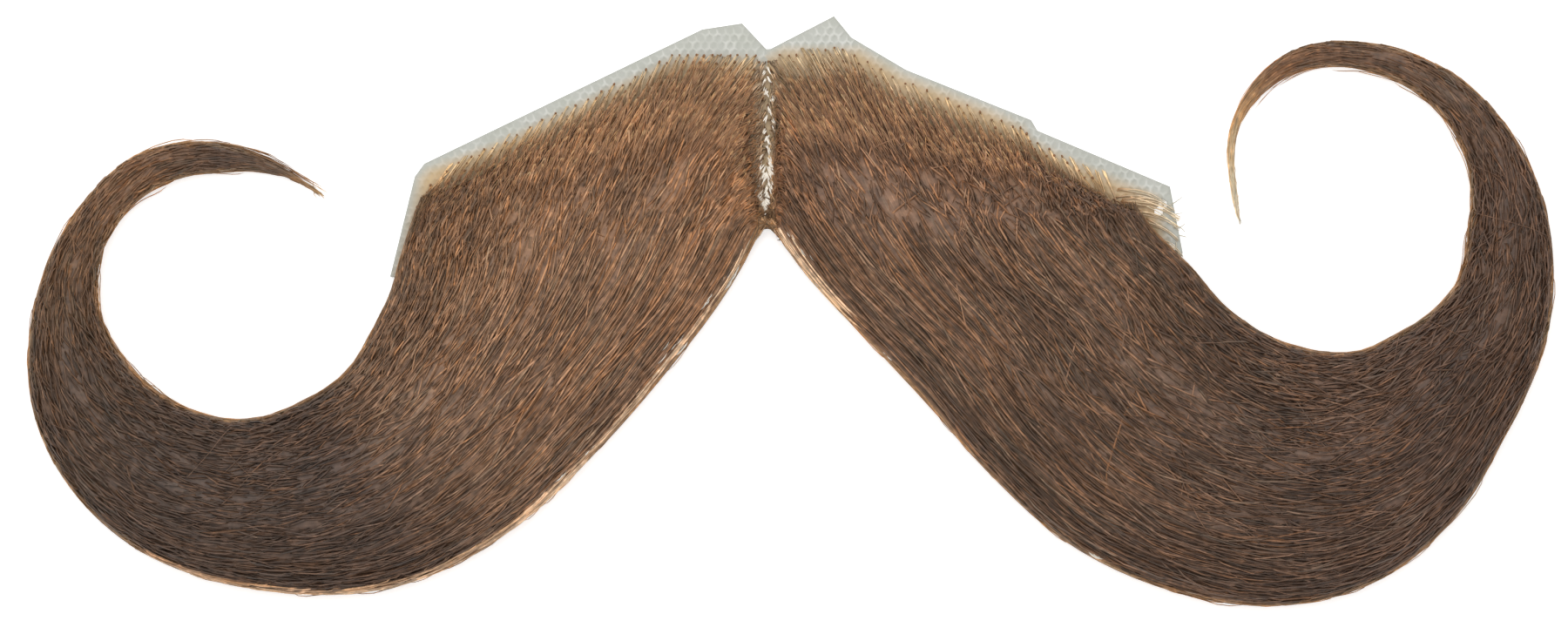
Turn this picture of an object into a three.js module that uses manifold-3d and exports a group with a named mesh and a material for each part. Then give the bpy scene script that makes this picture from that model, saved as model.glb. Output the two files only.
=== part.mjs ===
// A curled handlebar moustache of real hair, knotted on a lace foundation and lying on its back.
// Millimetres, +Z up. The origin is on the back of the lace, on the parting, half way up the lip.
// Left and right are as seen from the front. -X is the left wing, +Y is towards the nose.

import * as THREE from "three";
import { mergeVertices } from "three/addons/utils/BufferGeometryUtils.js";
import Module from "manifold-3d";

const wasm = await Module();
wasm.setup();

// Lace foundation
const laceThickness = 1.0;
const laceLeft = 41.0; // parting to the furthest point on the left
const laceRight = 44.9; // parting to the furthest point on the right
const laceRise = 13.4; // origin up to the higher peak beside the nose
const laceDrop = 16.5; // origin down to the lowest point of the lip edge

// Hair
const bareLace = 2.6; // strip of lace above the hairline with no dense hair on it
const partingWidth = 1.4; // lace that shows between the two wings
const hairGap = 0.3; // clearance between the hair and the lace
const hairlineDepth = 0.9; // hair above the lace at the hairline
const hairDepth = 8.0; // hair at the crown of the fullest section
const leftCurlRadius = 14.0;
const leftCurlStandOff = 16.4; // furthest point of the lace out to the centre of the curl
const leftCurlDrop = 16.5; // origin down to the centre of the curl
const leftBellyWidth = 25.0; // breadth of the wing at its fullest
const rightCurlRadius = 15.0;
const rightCurlStandOff = 17.7;
const rightCurlDrop = 7.5;
const rightBellyWidth = 30.0;
const lockRise = 0.6; // how far a lock stands proud of the wing
const lockSink = 0.4; // how far a lock's long edges lie under the wing's surface
const lockRoot = 1.3; // how deep a lock reaches into the wing

// Trimmed edge of the lace, from the notch outwards and round to the foot of the parting.
// across is a share of laceLeft or laceRight. up is a share of laceRise, or of laceDrop where negative.
const laceEdgeLeft = [
  { across: 0.067, up: 0.935 },
  { across: 0.172, up: 0.886 },
  { across: 0.905, up: -0.16 },
  { across: 0.93, up: -0.245 },
  { across: 0.995, up: -0.9 },
];
const laceEdgeRight = [
  { across: 0.16, up: 0.993 },
  { across: 0.202, up: 0.821 },
  { across: 0.334, up: 0.56 },
  { across: 0.635, up: 0.155 },
  { across: 0.65, up: 0.07 },
  { across: 0.969, up: -0.31 },
  { across: 1.0, up: -0.742 },
];
const laceLipLeft = [
  { across: 0.78, up: -1.0 },
  { across: 0.5, up: -0.955 },
  { across: 0.23, up: -0.8 },
];
const laceLipRight = [
  { across: 0.96, up: -0.885 },
  { across: 0.75, up: -0.98 },
  { across: 0.5, up: -0.94 },
  { across: 0.25, up: -0.8 },
];
const noseNotch = 0.716; // share of laceRise
const partingFoot = -0.588; // share of laceDrop

// A wing is a fan of sections round the centre of its curl. turn is the section's angle in degrees
// from the line towards the parting. inner is a share of curlRadius. The width is root times the
// distance across the roots plus belly times bellyWidth. crown is a share of hairDepth.
const leftWing = {
  name: "hair_left",
  side: -1,
  laceHalf: laceLeft,
  laceEdge: laceEdgeLeft,
  curlRadius: leftCurlRadius,
  curlStandOff: leftCurlStandOff,
  curlDrop: leftCurlDrop,
  bellyWidth: leftBellyWidth,
  cornerInset: 0.018, // share of laceHalf, from the lace's corner in to the hair
  cornerShare: 0.77, // share of the wing's breadth that is rooted along the top edge
  hairlineEnd: 2, // row of laceEdge where the top edge ends
  sections: [
    { turn: null, inner: 1.16, root: 1, belly: 0, crown: 0.78 },
    { turn: 10, inner: 1.09, root: 0.5, belly: 0.476, crown: 0.9 },
    { turn: 25, inner: 1.064, root: 0.2, belly: 0.771, crown: 0.97 },
    { turn: 40, inner: 1.029, root: 0, belly: 1.004, crown: 1 },
    { turn: 60, inner: 0.98, root: 0, belly: 0.91, crown: 1 },
    { turn: 85, inner: 0.979, root: 0, belly: 0.745, crown: 0.97 },
    { turn: 115, inner: 0.964, root: 0, belly: 0.636, crown: 0.9 },
    { turn: 145, inner: 0.993, root: 0, belly: 0.484, crown: 0.8 },
    { turn: 175, inner: 1.057, root: 0, belly: 0.288, crown: 0.68 },
    { turn: 205, inner: 1.057, root: 0, belly: 0.186, crown: 0.58 },
    { turn: 235, inner: 1.0, root: 0, belly: 0.17, crown: 0.5 },
    { turn: 265, inner: 0.926, root: 0, belly: 0.124, crown: 0.4 },
    { turn: 295, inner: 0.943, root: 0, belly: 0.048, crown: 0.24 },
    { turn: 314, inner: 0.975, root: 0, belly: 0.026, crown: 0.11 },
  ],
  locks: [
    { from: 0.05, to: 0.14, begins: 0.05, ends: 0.74, breadth: 0.075 },
    { from: 0.2, to: 0.3, begins: 0.02, ends: 0.9, breadth: 0.085 },
    { from: 0.36, to: 0.52, begins: 0.03, ends: 0.8, breadth: 0.09 },
    { from: 0.53, to: 0.7, begins: 0.02, ends: 0.93, breadth: 0.09 },
    { from: 0.7, to: 0.84, begins: 0.03, ends: 0.7, breadth: 0.085 },
    { from: 0.88, to: 0.95, begins: 0.1, ends: 0.62, breadth: 0.07 },
  ],
};
const rightWing = {
  name: "hair_right",
  side: 1,
  laceHalf: laceRight,
  laceEdge: laceEdgeRight,
  curlRadius: rightCurlRadius,
  curlStandOff: rightCurlStandOff,
  curlDrop: rightCurlDrop,
  bellyWidth: rightBellyWidth,
  cornerInset: 0.115,
  cornerShare: 0.86,
  hairlineEnd: 5,
  sections: [
    { turn: null, inner: 1.44, root: 1, belly: 0, crown: 0.78 },
    { turn: 20, inner: 1.193, root: 0.5, belly: 0.445, crown: 0.9 },
    { turn: 35, inner: 1.133, root: 0.2, belly: 0.775, crown: 0.97 },
    { turn: 50, inner: 1.087, root: 0, belly: 1.027, crown: 1 },
    { turn: 65, inner: 1.06, root: 0, belly: 0.987, crown: 1 },
    { turn: 80, inner: 1.04, root: 0, belly: 0.933, crown: 1 },
    { turn: 95, inner: 1.02, root: 0, belly: 0.833, crown: 0.97 },
    { turn: 110, inner: 0.967, root: 0, belly: 0.687, crown: 0.93 },
    { turn: 125, inner: 0.953, root: 0, belly: 0.52, crown: 0.88 },
    { turn: 145, inner: 0.947, root: 0, belly: 0.395, crown: 0.8 },
    { turn: 170, inner: 0.88, root: 0, belly: 0.31, crown: 0.7 },
    { turn: 200, inner: 0.913, root: 0, belly: 0.207, crown: 0.6 },
    { turn: 230, inner: 0.96, root: 0, belly: 0.14, crown: 0.5 },
    { turn: 260, inner: 1.0, root: 0, belly: 0.103, crown: 0.4 },
    { turn: 290, inner: 1.047, root: 0, belly: 0.077, crown: 0.3 },
    { turn: 320, inner: 0.98, root: 0, belly: 0.034, crown: 0.2 },
    { turn: 350, inner: 0.793, root: 0, belly: 0.03, crown: 0.14 },
    { turn: 369, inner: 0.747, root: 0, belly: 0.02, crown: 0.1 },
  ],
  locks: [
    { from: 0.05, to: 0.14, begins: 0.06, ends: 0.62, breadth: 0.075 },
    { from: 0.2, to: 0.3, begins: 0.03, ends: 0.82, breadth: 0.085 },
    { from: 0.36, to: 0.5, begins: 0.03, ends: 0.72, breadth: 0.09 },
    { from: 0.53, to: 0.68, begins: 0.02, ends: 0.84, breadth: 0.09 },
    { from: 0.7, to: 0.82, begins: 0.02, ends: 0.66, breadth: 0.085 },
    { from: 0.87, to: 0.94, begins: 0.08, ends: 0.55, breadth: 0.07 },
  ],
};

// How finely the wings are cut into flat faces
const rootShare = 0.14; // share of a wing's length from the hairline to the fan's first section
const rootSteps = 4;
const fanSteps = 34;
const acrossSteps = 12;
const lockSteps = 20;
const lockPoints = [-1, -0.5, 0, 0.5, 1]; // across a lock, from one long edge to the other
const lipEdgeSteps = 4; // flats between two points of the lace's lip edge
const flowStep = 2; // degrees over which the direction of the hair is taken

// Shape of a section: the height of its edge and of its flat underside, and how square its dome is
const edgeShare = 0.3; // edge above the surface it lies on, as a share of the crown
const edgeFlare = 0.4; // hair at the edge above the lace, at the hairline
const domePower = 2.4;
const undersidePower = 4;
const rootCurve = 0.5; // how far back along the flow a root's curve is pulled, as a share of its length
const lockTip = 0.12; // breadth of a lock at its two ends, as a share of its middle
const lockTaperPower = 0.7;

const hairMaterial = new THREE.MeshStandardMaterial({ color: 0x6b4f3a, roughness: 0.55, metalness: 0 });
const laceMaterial = new THREE.MeshStandardMaterial({ color: 0xcfd3cc, roughness: 0.6, metalness: 0 });

// Turns a closed geometry into a solid that can be joined or cut.
function toSolid(geometry) {
  const bare = geometry.clone();
  bare.deleteAttribute("normal");
  bare.deleteAttribute("uv");
  const merged = mergeVertices(bare, 1e-4);
  return new wasm.Manifold(
    new wasm.Mesh({
      numProp: 3,
      vertProperties: new Float32Array(merged.attributes.position.array),
      triVerts: new Uint32Array(merged.index.array),
    }),
  );
}

// Turns a solid back into a geometry with flat faces.
function toGeometry(solid) {
  const mesh = solid.getMesh();
  const geometry = new THREE.BufferGeometry();
  geometry.setAttribute("position", new THREE.BufferAttribute(new Float32Array(mesh.vertProperties), 3));
  geometry.setIndex(new THREE.BufferAttribute(new Uint32Array(mesh.triVerts), 1));
  const flat = geometry.toNonIndexed();
  flat.computeVertexNormals();
  return flat;
}

// A point of the lace's edge in millimetres, for a row of its table and a side of the parting.
function lacePoint(row, side, half) {
  const rise = row.up > 0 ? laceRise : laceDrop;
  return new THREE.Vector2(side * row.across * half, row.up * rise);
}

// The lace's whole outline, anticlockwise from the nose notch. The lip edge is a smooth curve.
function laceOutline() {
  const left = laceEdgeLeft.map((row) => lacePoint(row, -1, laceLeft));
  const right = laceEdgeRight.map((row) => lacePoint(row, 1, laceRight));
  const foot = new THREE.Vector2(0, partingFoot * laceDrop);
  const lipLeft = laceLipLeft.map((row) => lacePoint(row, -1, laceLeft));
  const lipRight = laceLipRight.map((row) => lacePoint(row, 1, laceRight)).reverse();
  const shape = new THREE.Shape();
  shape.moveTo(0, noseNotch * laceRise);
  left.forEach((point) => shape.lineTo(point.x, point.y));
  shape.splineThru([...lipLeft, foot]);
  shape.splineThru([...lipRight, right[right.length - 1]]);
  right
    .slice(0, -1)
    .reverse()
    .forEach((point) => shape.lineTo(point.x, point.y));
  return shape.getPoints(lipEdgeSteps);
}

// The outline moved outwards by a distance, each corner along the mean of its two edges' normals.
// A sharp corner goes no further out than sharpReach times the distance.
function grownOutline(points, distance) {
  const sharpReach = 2.5;
  return points.map((point, i) => {
    const before = points[(i + points.length - 1) % points.length];
    const after = points[(i + 1) % points.length];
    const a = point.clone().sub(before).normalize();
    const b = after.clone().sub(point).normalize();
    const normal = new THREE.Vector2(a.y + b.y, -a.x - b.x).normalize();
    const reach = Math.min(sharpReach, Math.sqrt(2 / (1 + a.dot(b))));
    return point.clone().addScaledVector(normal, distance * reach);
  });
}

// A sheet of the given outline between two heights.
function sheet(points, bottom, top) {
  const geometry = new THREE.ExtrudeGeometry(new THREE.Shape(points), {
    depth: top - bottom,
    bevelEnabled: false,
    curveSegments: 1,
  });
  return geometry.translate(0, 0, bottom);
}

// A column of a table of sections at any turn, on a smooth curve through its rows.
function sectionValue(sections, column, turn) {
  const last = sections.length - 1;
  let k = 0;
  while (k < last - 1 && turn > sections[k + 1].turn) k += 1;
  const slope = (i) => {
    const a = sections[Math.max(i - 1, 0)];
    const b = sections[Math.min(i + 1, last)];
    return (b[column] - a[column]) / (b.turn - a.turn);
  };
  const from = sections[k];
  const to = sections[k + 1];
  const span = to.turn - from.turn;
  const t = THREE.MathUtils.clamp((turn - from.turn) / span, 0, 1);
  const t2 = t * t;
  const t3 = t2 * t;
  return (
    (2 * t3 - 3 * t2 + 1) * from[column] +
    (t3 - 2 * t2 + t) * span * slope(k) +
    (3 * t2 - 2 * t3) * to[column] +
    (t3 - t2) * span * slope(k + 1)
  );
}

// A wing as a surface: where a point lies, and its top and underside, for a share of the wing's
// length from hairline to tip and a share of its breadth from the inside of the curl outwards.
function wingSurface(wing) {
  const { side, laceHalf, sections: rows } = wing;
  const centre = new THREE.Vector2(side * (laceHalf + wing.curlStandOff), -wing.curlDrop);
  const foot = new THREE.Vector2((side * partingWidth) / 2, partingFoot * laceDrop);
  const toFoot = foot.clone().sub(centre);
  const firstTurn = THREE.MathUtils.radToDeg(Math.atan2(-toFoot.y, -side * toFoot.x));
  const sections = rows.map((row, i) => (i === 0 ? { ...row, turn: firstTurn } : row));
  const lastTurn = sections[sections.length - 1].turn;
  const rootWidth = toFoot.length() - sections[0].inner * wing.curlRadius;
  const value = (column, turn) => sectionValue(sections, column, turn);

  // The hairline runs below the lace's top edge to the parting, then down it.
  const top = wing.laceEdge.slice(0, wing.hairlineEnd + 1).map((row) => lacePoint(row, side, laceHalf));
  const corner = top[top.length - 1];
  corner.x -= side * wing.cornerInset * laceHalf;
  const partingTop = new THREE.Vector2((side * partingWidth) / 2, noseNotch * laceRise);
  const hairline = [partingTop, ...top.slice(1)].map((p) => new THREE.Vector2(p.x, p.y - bareLace));

  function onHairline(across) {
    if (across > wing.cornerShare) {
      const down = (across - wing.cornerShare) / (1 - wing.cornerShare);
      return hairline[0].clone().lerp(foot, down);
    }
    const x = THREE.MathUtils.lerp(hairline[hairline.length - 1].x, hairline[0].x, across / wing.cornerShare);
    const k = Math.max(1, hairline.findIndex((p, i) => i > 0 && side * p.x >= side * x - 1e-9));
    const t = (x - hairline[k - 1].x) / (hairline[k].x - hairline[k - 1].x);
    return hairline[k - 1].clone().lerp(hairline[k], t);
  }

  function onFan(turn, across) {
    const inner = value("inner", turn) * wing.curlRadius;
    const width = value("root", turn) * rootWidth + value("belly", turn) * wing.bellyWidth;
    const radius = inner + across * width;
    const angle = THREE.MathUtils.degToRad(turn);
    return new THREE.Vector2(
      centre.x - side * radius * Math.cos(angle),
      centre.y - radius * Math.sin(angle),
    );
  }

  // From the hairline to the fan's first section the hair runs on a curve that leaves along the fan.
  function place(along, across) {
    if (along >= rootShare) {
      return onFan(turnAt(along), across);
    }
    const t = along / rootShare;
    const start = onHairline(across);
    const end = onFan(firstTurn, across);
    const step = onFan(firstTurn + flowStep, across).sub(end).normalize();
    const middle = end.clone().addScaledVector(step, -end.distanceTo(start) * rootCurve);
    const curve = new THREE.QuadraticBezierCurve(start, middle, end);
    return curve.getPoint(t);
  }

  function turnAt(along) {
    return THREE.MathUtils.mapLinear(along, rootShare, 1, firstTurn, lastTurn);
  }

  const laceTop = laceThickness + hairGap;
  const edgeOverLace = laceTop + edgeFlare;

  function heights(along, across) {
    const s = Math.abs(2 * THREE.MathUtils.clamp(across, 0, 1) - 1);
    const dome = Math.sqrt(1 - Math.min(1, s) ** domePower);
    const crown = value("crown", Math.max(firstTurn, turnAt(along))) * hairDepth;
    const edge = crown * edgeShare;
    const fanTop = edge + (crown - edge) * dome;
    const fanBottom = edge * s ** undersidePower;
    if (along >= rootShare) return { top: fanTop, bottom: fanBottom };
    const t = along / rootShare;
    const ramp = Math.sin((t * Math.PI) / 2);
    const hairlineTop = edgeOverLace + (hairlineDepth - edgeFlare) * dome;
    const hairlineBottom = s >= 1 ? edgeOverLace : 0;
    return {
      top: THREE.MathUtils.lerp(hairlineTop, fanTop, ramp),
      bottom: THREE.MathUtils.lerp(hairlineBottom, fanBottom, ramp),
    };
  }
  return { place, heights };
}

// A closed solid through rings of points, each ring holding the top from one edge to the other
// and then the underside back. The ends are closed by strips between the top and the underside.
function loft(rings, topCount) {
  const ringSize = rings[0].length;
  const positions = rings.flat().flatMap((p) => [p.x, p.y, p.z]);
  const index = [];
  const quad = (a, b, c, d) => index.push(a, b, c, a, c, d);
  rings.slice(1).forEach((_, r) => {
    for (let i = 0; i < ringSize; i += 1) {
      const j = (i + 1) % ringSize;
      const here = r * ringSize;
      const next = here + ringSize;
      quad(here + i, here + j, next + j, next + i);
    }
  });
  const under = (i) => (ringSize - i) % ringSize;
  const cap = (base, flip) => {
    for (let i = 0; i < topCount - 1; i += 1) {
      const strip = [base + i, base + under(i), base + under(i + 1), base + i + 1];
      if (flip) strip.reverse();
      const [a, b, c, d] = strip;
      if (a !== b) index.push(a, b, c);
      if (c !== d) index.push(a, c, d);
    }
  };
  cap(0, false);
  cap((rings.length - 1) * ringSize, true);
  const geometry = new THREE.BufferGeometry();
  geometry.setAttribute("position", new THREE.BufferAttribute(new Float32Array(positions), 3));
  geometry.setIndex(index);
  const solid = toSolid(geometry);
  if (solid.volume() >= 0) return solid;
  for (let i = 0; i < index.length; i += 3) [index[i + 1], index[i + 2]] = [index[i + 2], index[i + 1]];
  geometry.setIndex(index);
  return toSolid(geometry);
}

// Shares of the wing's length at which its sections are cut, closer together over the roots.
function stations() {
  const root = Array.from({ length: rootSteps }, (_, i) => (rootShare * i) / rootSteps);
  const fan = Array.from({ length: fanSteps + 1 }, (_, i) => rootShare + ((1 - rootShare) * i) / fanSteps);
  return [...root, ...fan];
}

// Shares of the breadth, closer together at the two edges where the dome is steep.
function breadths() {
  return Array.from({ length: acrossSteps + 1 }, (_, i) => (1 - Math.cos((Math.PI * i) / acrossSteps)) / 2);
}

// The main mass of a wing.
function wingBody(surface) {
  const across = breadths();
  const rings = stations().map((along) => {
    const point = (v, level) => {
      const p = surface.place(along, v);
      return new THREE.Vector3(p.x, p.y, surface.heights(along, v)[level]);
    };
    const over = across.map((v) => point(v, "top"));
    const below = across
      .slice(1, -1)
      .reverse()
      .map((v) => point(v, "bottom"));
    return [...over, ...below];
  });
  return loft(rings, across.length);
}

// One lock: a tapered strip along the flow of the hair, proud of the wing and sunk into it.
function lock(surface, row) {
  const rings = Array.from({ length: lockSteps + 1 }, (_, i) => {
    const t = i / lockSteps;
    const along = THREE.MathUtils.lerp(row.begins, row.ends, t);
    const middle = THREE.MathUtils.lerp(row.from, row.to, t);
    const taper = lockTip + (1 - lockTip) * Math.sin(Math.PI * t) ** lockTaperPower;
    const point = (s, level) => {
      const v = middle + s * row.breadth * taper;
      const p = surface.place(along, v);
      const { top, bottom } = surface.heights(along, v);
      const crest = top - lockSink + (lockRise + lockSink) * taper * (1 - s * s);
      const sunk = Math.max(top - lockRoot, (top + bottom) / 2);
      return new THREE.Vector3(p.x, p.y, level === "crest" ? crest : sunk);
    };
    const over = lockPoints.map((s) => point(s, "crest"));
    const below = lockPoints
      .slice(1, -1)
      .reverse()
      .map((s) => point(s, "sunk"));
    return [...over, ...below];
  });
  return loft(rings, lockPoints.length);
}

// A wing: its body and locks in one, cut clear of the lace that it lies over.
function wingMesh(wing, laceShape) {
  const surface = wingSurface(wing);
  let solid = wingBody(surface);
  wing.locks.forEach((row) => {
    solid = solid.add(lock(surface, row));
  });
  const clearance = sheet(grownOutline(laceShape, hairGap), -laceThickness, laceThickness + hairGap);
  solid = solid.subtract(toSolid(clearance));
  const mesh = new THREE.Mesh(toGeometry(solid), hairMaterial);
  mesh.name = wing.name;
  return mesh;
}

function laceMesh(laceShape) {
  const mesh = new THREE.Mesh(sheet(laceShape, 0, laceThickness), laceMaterial);
  mesh.name = "lace_foundation";
  return mesh;
}

const laceShape = laceOutline();
const moustache = new THREE.Group();
moustache.add(laceMesh(laceShape));
moustache.add(wingMesh(leftWing, laceShape));
moustache.add(wingMesh(rightWing, laceShape));

export default moustache;
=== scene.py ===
"""A curled moustache of real hair, hand-knotted on a lace foundation and lying on its back.

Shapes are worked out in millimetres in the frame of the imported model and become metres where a
mesh is made. +X runs towards the right wing, +Y towards the nose and +Z out through the hair.
A Span is a least and a most, a start and a run, or a value for the left side and for the right.
"""

import logging
from dataclasses import dataclass, replace
from enum import Enum
from typing import Any, Sequence

import bpy
import numpy as np
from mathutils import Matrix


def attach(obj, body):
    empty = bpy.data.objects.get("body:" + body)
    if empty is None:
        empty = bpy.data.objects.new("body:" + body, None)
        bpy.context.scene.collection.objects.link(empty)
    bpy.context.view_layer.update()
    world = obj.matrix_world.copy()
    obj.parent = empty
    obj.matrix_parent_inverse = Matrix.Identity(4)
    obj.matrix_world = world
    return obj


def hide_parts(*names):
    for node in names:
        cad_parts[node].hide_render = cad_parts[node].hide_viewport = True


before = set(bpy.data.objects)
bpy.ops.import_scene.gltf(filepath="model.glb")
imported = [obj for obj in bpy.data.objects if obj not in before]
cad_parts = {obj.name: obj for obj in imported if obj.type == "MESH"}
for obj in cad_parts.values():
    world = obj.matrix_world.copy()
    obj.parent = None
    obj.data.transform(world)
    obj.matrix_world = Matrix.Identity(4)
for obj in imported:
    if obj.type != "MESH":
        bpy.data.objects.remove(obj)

Array = np.ndarray
Colour = tuple[float, float, float]
Span = tuple[float, float]
Rows = tuple[tuple[float, ...], ...]

MM = 0.001
BODY = "root"
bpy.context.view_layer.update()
BAKE_MAP = "OFBake"
SIDES = 3
ANY_ROLL = 6.0
SMALL_ROLL = 2.0

log = logging.getLogger("moustache")


def paint(red: float, green: float, blue: float) -> Colour:
    """Turn a screen colour into linear light, by the sRGB curve.

    Args:
        red: Red from 0 to 255.
        green: Green from 0 to 255.
        blue: Blue from 0 to 255.

    Returns:
        The same colour in linear light, from 0 to 1.
    """
    share = np.array([red, green, blue]) / 255
    linear = np.where(share <= 0.04045, share / 12.92, ((share + 0.055) / 1.055) ** 2.4)
    return tuple(float(x) for x in linear)


def climb(x: Array, start: float, run: float) -> Array:
    """A share that goes from 0 at start to 1 a run further on."""
    return np.clip((x - start) / run, 0, 1)


def bell(x: Array, middle: float, reach: float) -> Array:
    """The curve exp(-((x - middle) / reach)^2)."""
    return np.exp(-(((x - middle) / reach) ** 2))


def across_of(around: Array) -> Array:
    """The share of the breadth at a place round the section, (1 - cos(pi * around)) / 2."""
    return (1 - np.cos(np.pi * around)) / 2


def around_of(across: Array) -> Array:
    """The place round the section, over its top, at a share of the breadth."""
    return np.arccos(1 - 2 * across) / np.pi


def column(rng: np.random.Generator, span: Span, count: int) -> Array:
    """A random number from the span for each strand, as a column."""
    return rng.uniform(*span, (count, 1))


def lengths(vectors: Array) -> Array:
    """The length of each vector."""
    return np.linalg.norm(vectors, axis=-1)


class Slot(Enum):
    """The record's material slots."""

    LACE = "lace"
    HAIR = "hair"


class Side(Enum):
    """Which wing, as seen from the front. The value is the sign of its X."""

    LEFT = -1
    RIGHT = 1

    @property
    def word(self) -> str:
        """The side's name in lower case."""
        return self.name.lower()


# Shader graphs


class Socket:
    """One output of a shader node, on which Python arithmetic adds Math nodes."""

    def __init__(self, shader: "Shader", link: Any) -> None:
        """Wrap a Blender output socket.

        Args:
            shader: The graph that the socket belongs to.
            link: Blender's own output socket.
        """
        self.shader = shader
        self.link = link

    def math(self, operation: str, left: Any, right: Any = 0.0) -> "Socket":
        """Add one Math node.

        Args:
            operation: The Math node's operation.
            left: Its first value.
            right: Its second value.

        Returns:
            The node's output.
        """
        return self.shader.node("ShaderNodeMath", {"operation": operation}, {0: left, 1: right})

    def __add__(self, other: Any) -> "Socket":
        """The sum."""
        return self.math("ADD", self, other)

    def __radd__(self, other: Any) -> "Socket":
        """The sum, with the number first."""
        return self.math("ADD", other, self)

    def __sub__(self, other: Any) -> "Socket":
        """The difference."""
        return self.math("SUBTRACT", self, other)

    def __rsub__(self, other: Any) -> "Socket":
        """The difference, with the number first."""
        return self.math("SUBTRACT", other, self)

    def __mul__(self, other: Any) -> "Socket":
        """The product."""
        return self.math("MULTIPLY", self, other)

    def __rmul__(self, other: Any) -> "Socket":
        """The product, with the number first."""
        return self.math("MULTIPLY", other, self)


class Shader:
    """A material and the few ways in which its nodes are made."""

    def __init__(self, name: str) -> None:
        """Start an empty graph with a Principled shader on its output.

        Args:
            name: The material's name.
        """
        self.material = bpy.data.materials.new(name)
        self.material.use_nodes = True
        self.tree = self.material.node_tree
        self.tree.nodes.clear()
        self.surface = self.tree.nodes.new("ShaderNodeBsdfPrincipled")
        output = self.tree.nodes.new("ShaderNodeOutputMaterial")
        self.tree.links.new(self.surface.outputs[0], output.inputs["Surface"])

    def node(self, kind: str, settings: dict, inputs: dict, output: int | str = 0) -> Socket:
        """Add a node.

        Args:
            kind: The node's type.
            settings: Its own settings. "stops" are a ramp's positions and colours.
            inputs: A number, colour or Socket for each of its sockets.
            output: Which of its outputs to return.

        Returns:
            That output.
        """
        made = self.tree.nodes.new(kind)
        for name, value in settings.items():
            if name == "stops":
                self._fill_ramp(made.color_ramp, value)
            else:
                setattr(made, name, value)
        for name, value in inputs.items():
            self._feed(made.inputs[name], value)
        return Socket(self, made.outputs[output])

    def set(self, **inputs: Any) -> None:
        """Set or feed the Principled shader's sockets, with _ for a space in their names."""
        for name, value in inputs.items():
            self._feed(self.surface.inputs[name.replace("_", " ")], value)

    def attribute(self, name: str) -> Socket:
        """A number that the piece carries at each point."""
        return self.node("ShaderNodeAttribute", {"attribute_name": name}, {}, "Fac")

    def place(self) -> Socket:
        """The Object coordinates."""
        return self.node("ShaderNodeTexCoord", {}, {}, "Object")

    def noise(self, place: Socket, scale: float) -> Socket:
        """Noise from 0 to 1 at a place."""
        return self.node("ShaderNodeTexNoise", {}, {"Vector": place, "Scale": scale, "Detail": 2.0})

    def ramp(self, factor: Socket, stops: Sequence[tuple[float, Colour]]) -> Socket:
        """A colour looked up by a number."""
        return self.node("ShaderNodeValToRGB", {"stops": stops}, {"Fac": factor})

    def between(self, value: Socket, start: Span, end: Span) -> Socket:
        """A number mapped on a straight line, and held at both ends.

        Args:
            value: The number.
            start: Where the line starts, and the result there.
            end: Where it ends, and the result there.

        Returns:
            The result.
        """
        levels = {0: value, 1: start[0], 2: end[0], 3: start[1], 4: end[1]}
        return self.node("ShaderNodeMapRange", {"clamp": True}, levels)

    def blend(self, kind: str, factor: Any, first: Any, second: Any) -> Socket:
        """Two colours put together by a Mix node.

        Args:
            kind: The Mix node's blend type.
            factor: How far the second colour is mixed in.
            first: The first colour.
            second: The second colour.

        Returns:
            The mixed colour.
        """
        settings = {"data_type": "RGBA", "blend_type": kind, "clamp_factor": True}
        return self.node("ShaderNodeMix", settings, {0: factor, 6: first, 7: second}, 2)

    def _feed(self, socket: Any, value: Any) -> None:
        """Link a Socket, or set a number or a colour.

        Args:
            socket: Blender's own input socket.
            value: A Socket, a number or a colour.
        """
        if isinstance(value, Socket):
            self.tree.links.new(value.link, socket)
        elif isinstance(value, tuple) and len(socket.default_value) == 4:
            socket.default_value = (*value, 1.0)
        else:
            socket.default_value = value

    @staticmethod
    def _fill_ramp(ramp: Any, stops: Sequence[tuple[float, Colour]]) -> None:
        """Give a ramp its stops, in order.

        Args:
            ramp: Blender's own colour ramp, which starts with two stops.
            stops: Positions from 0 to 1 and colours.
        """
        for position, _ in stops[2:]:
            ramp.elements.new(position)
        for element, (position, colour) in zip(ramp.elements, stops):
            element.position = position
            element.color = (*colour, 1.0)


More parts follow.
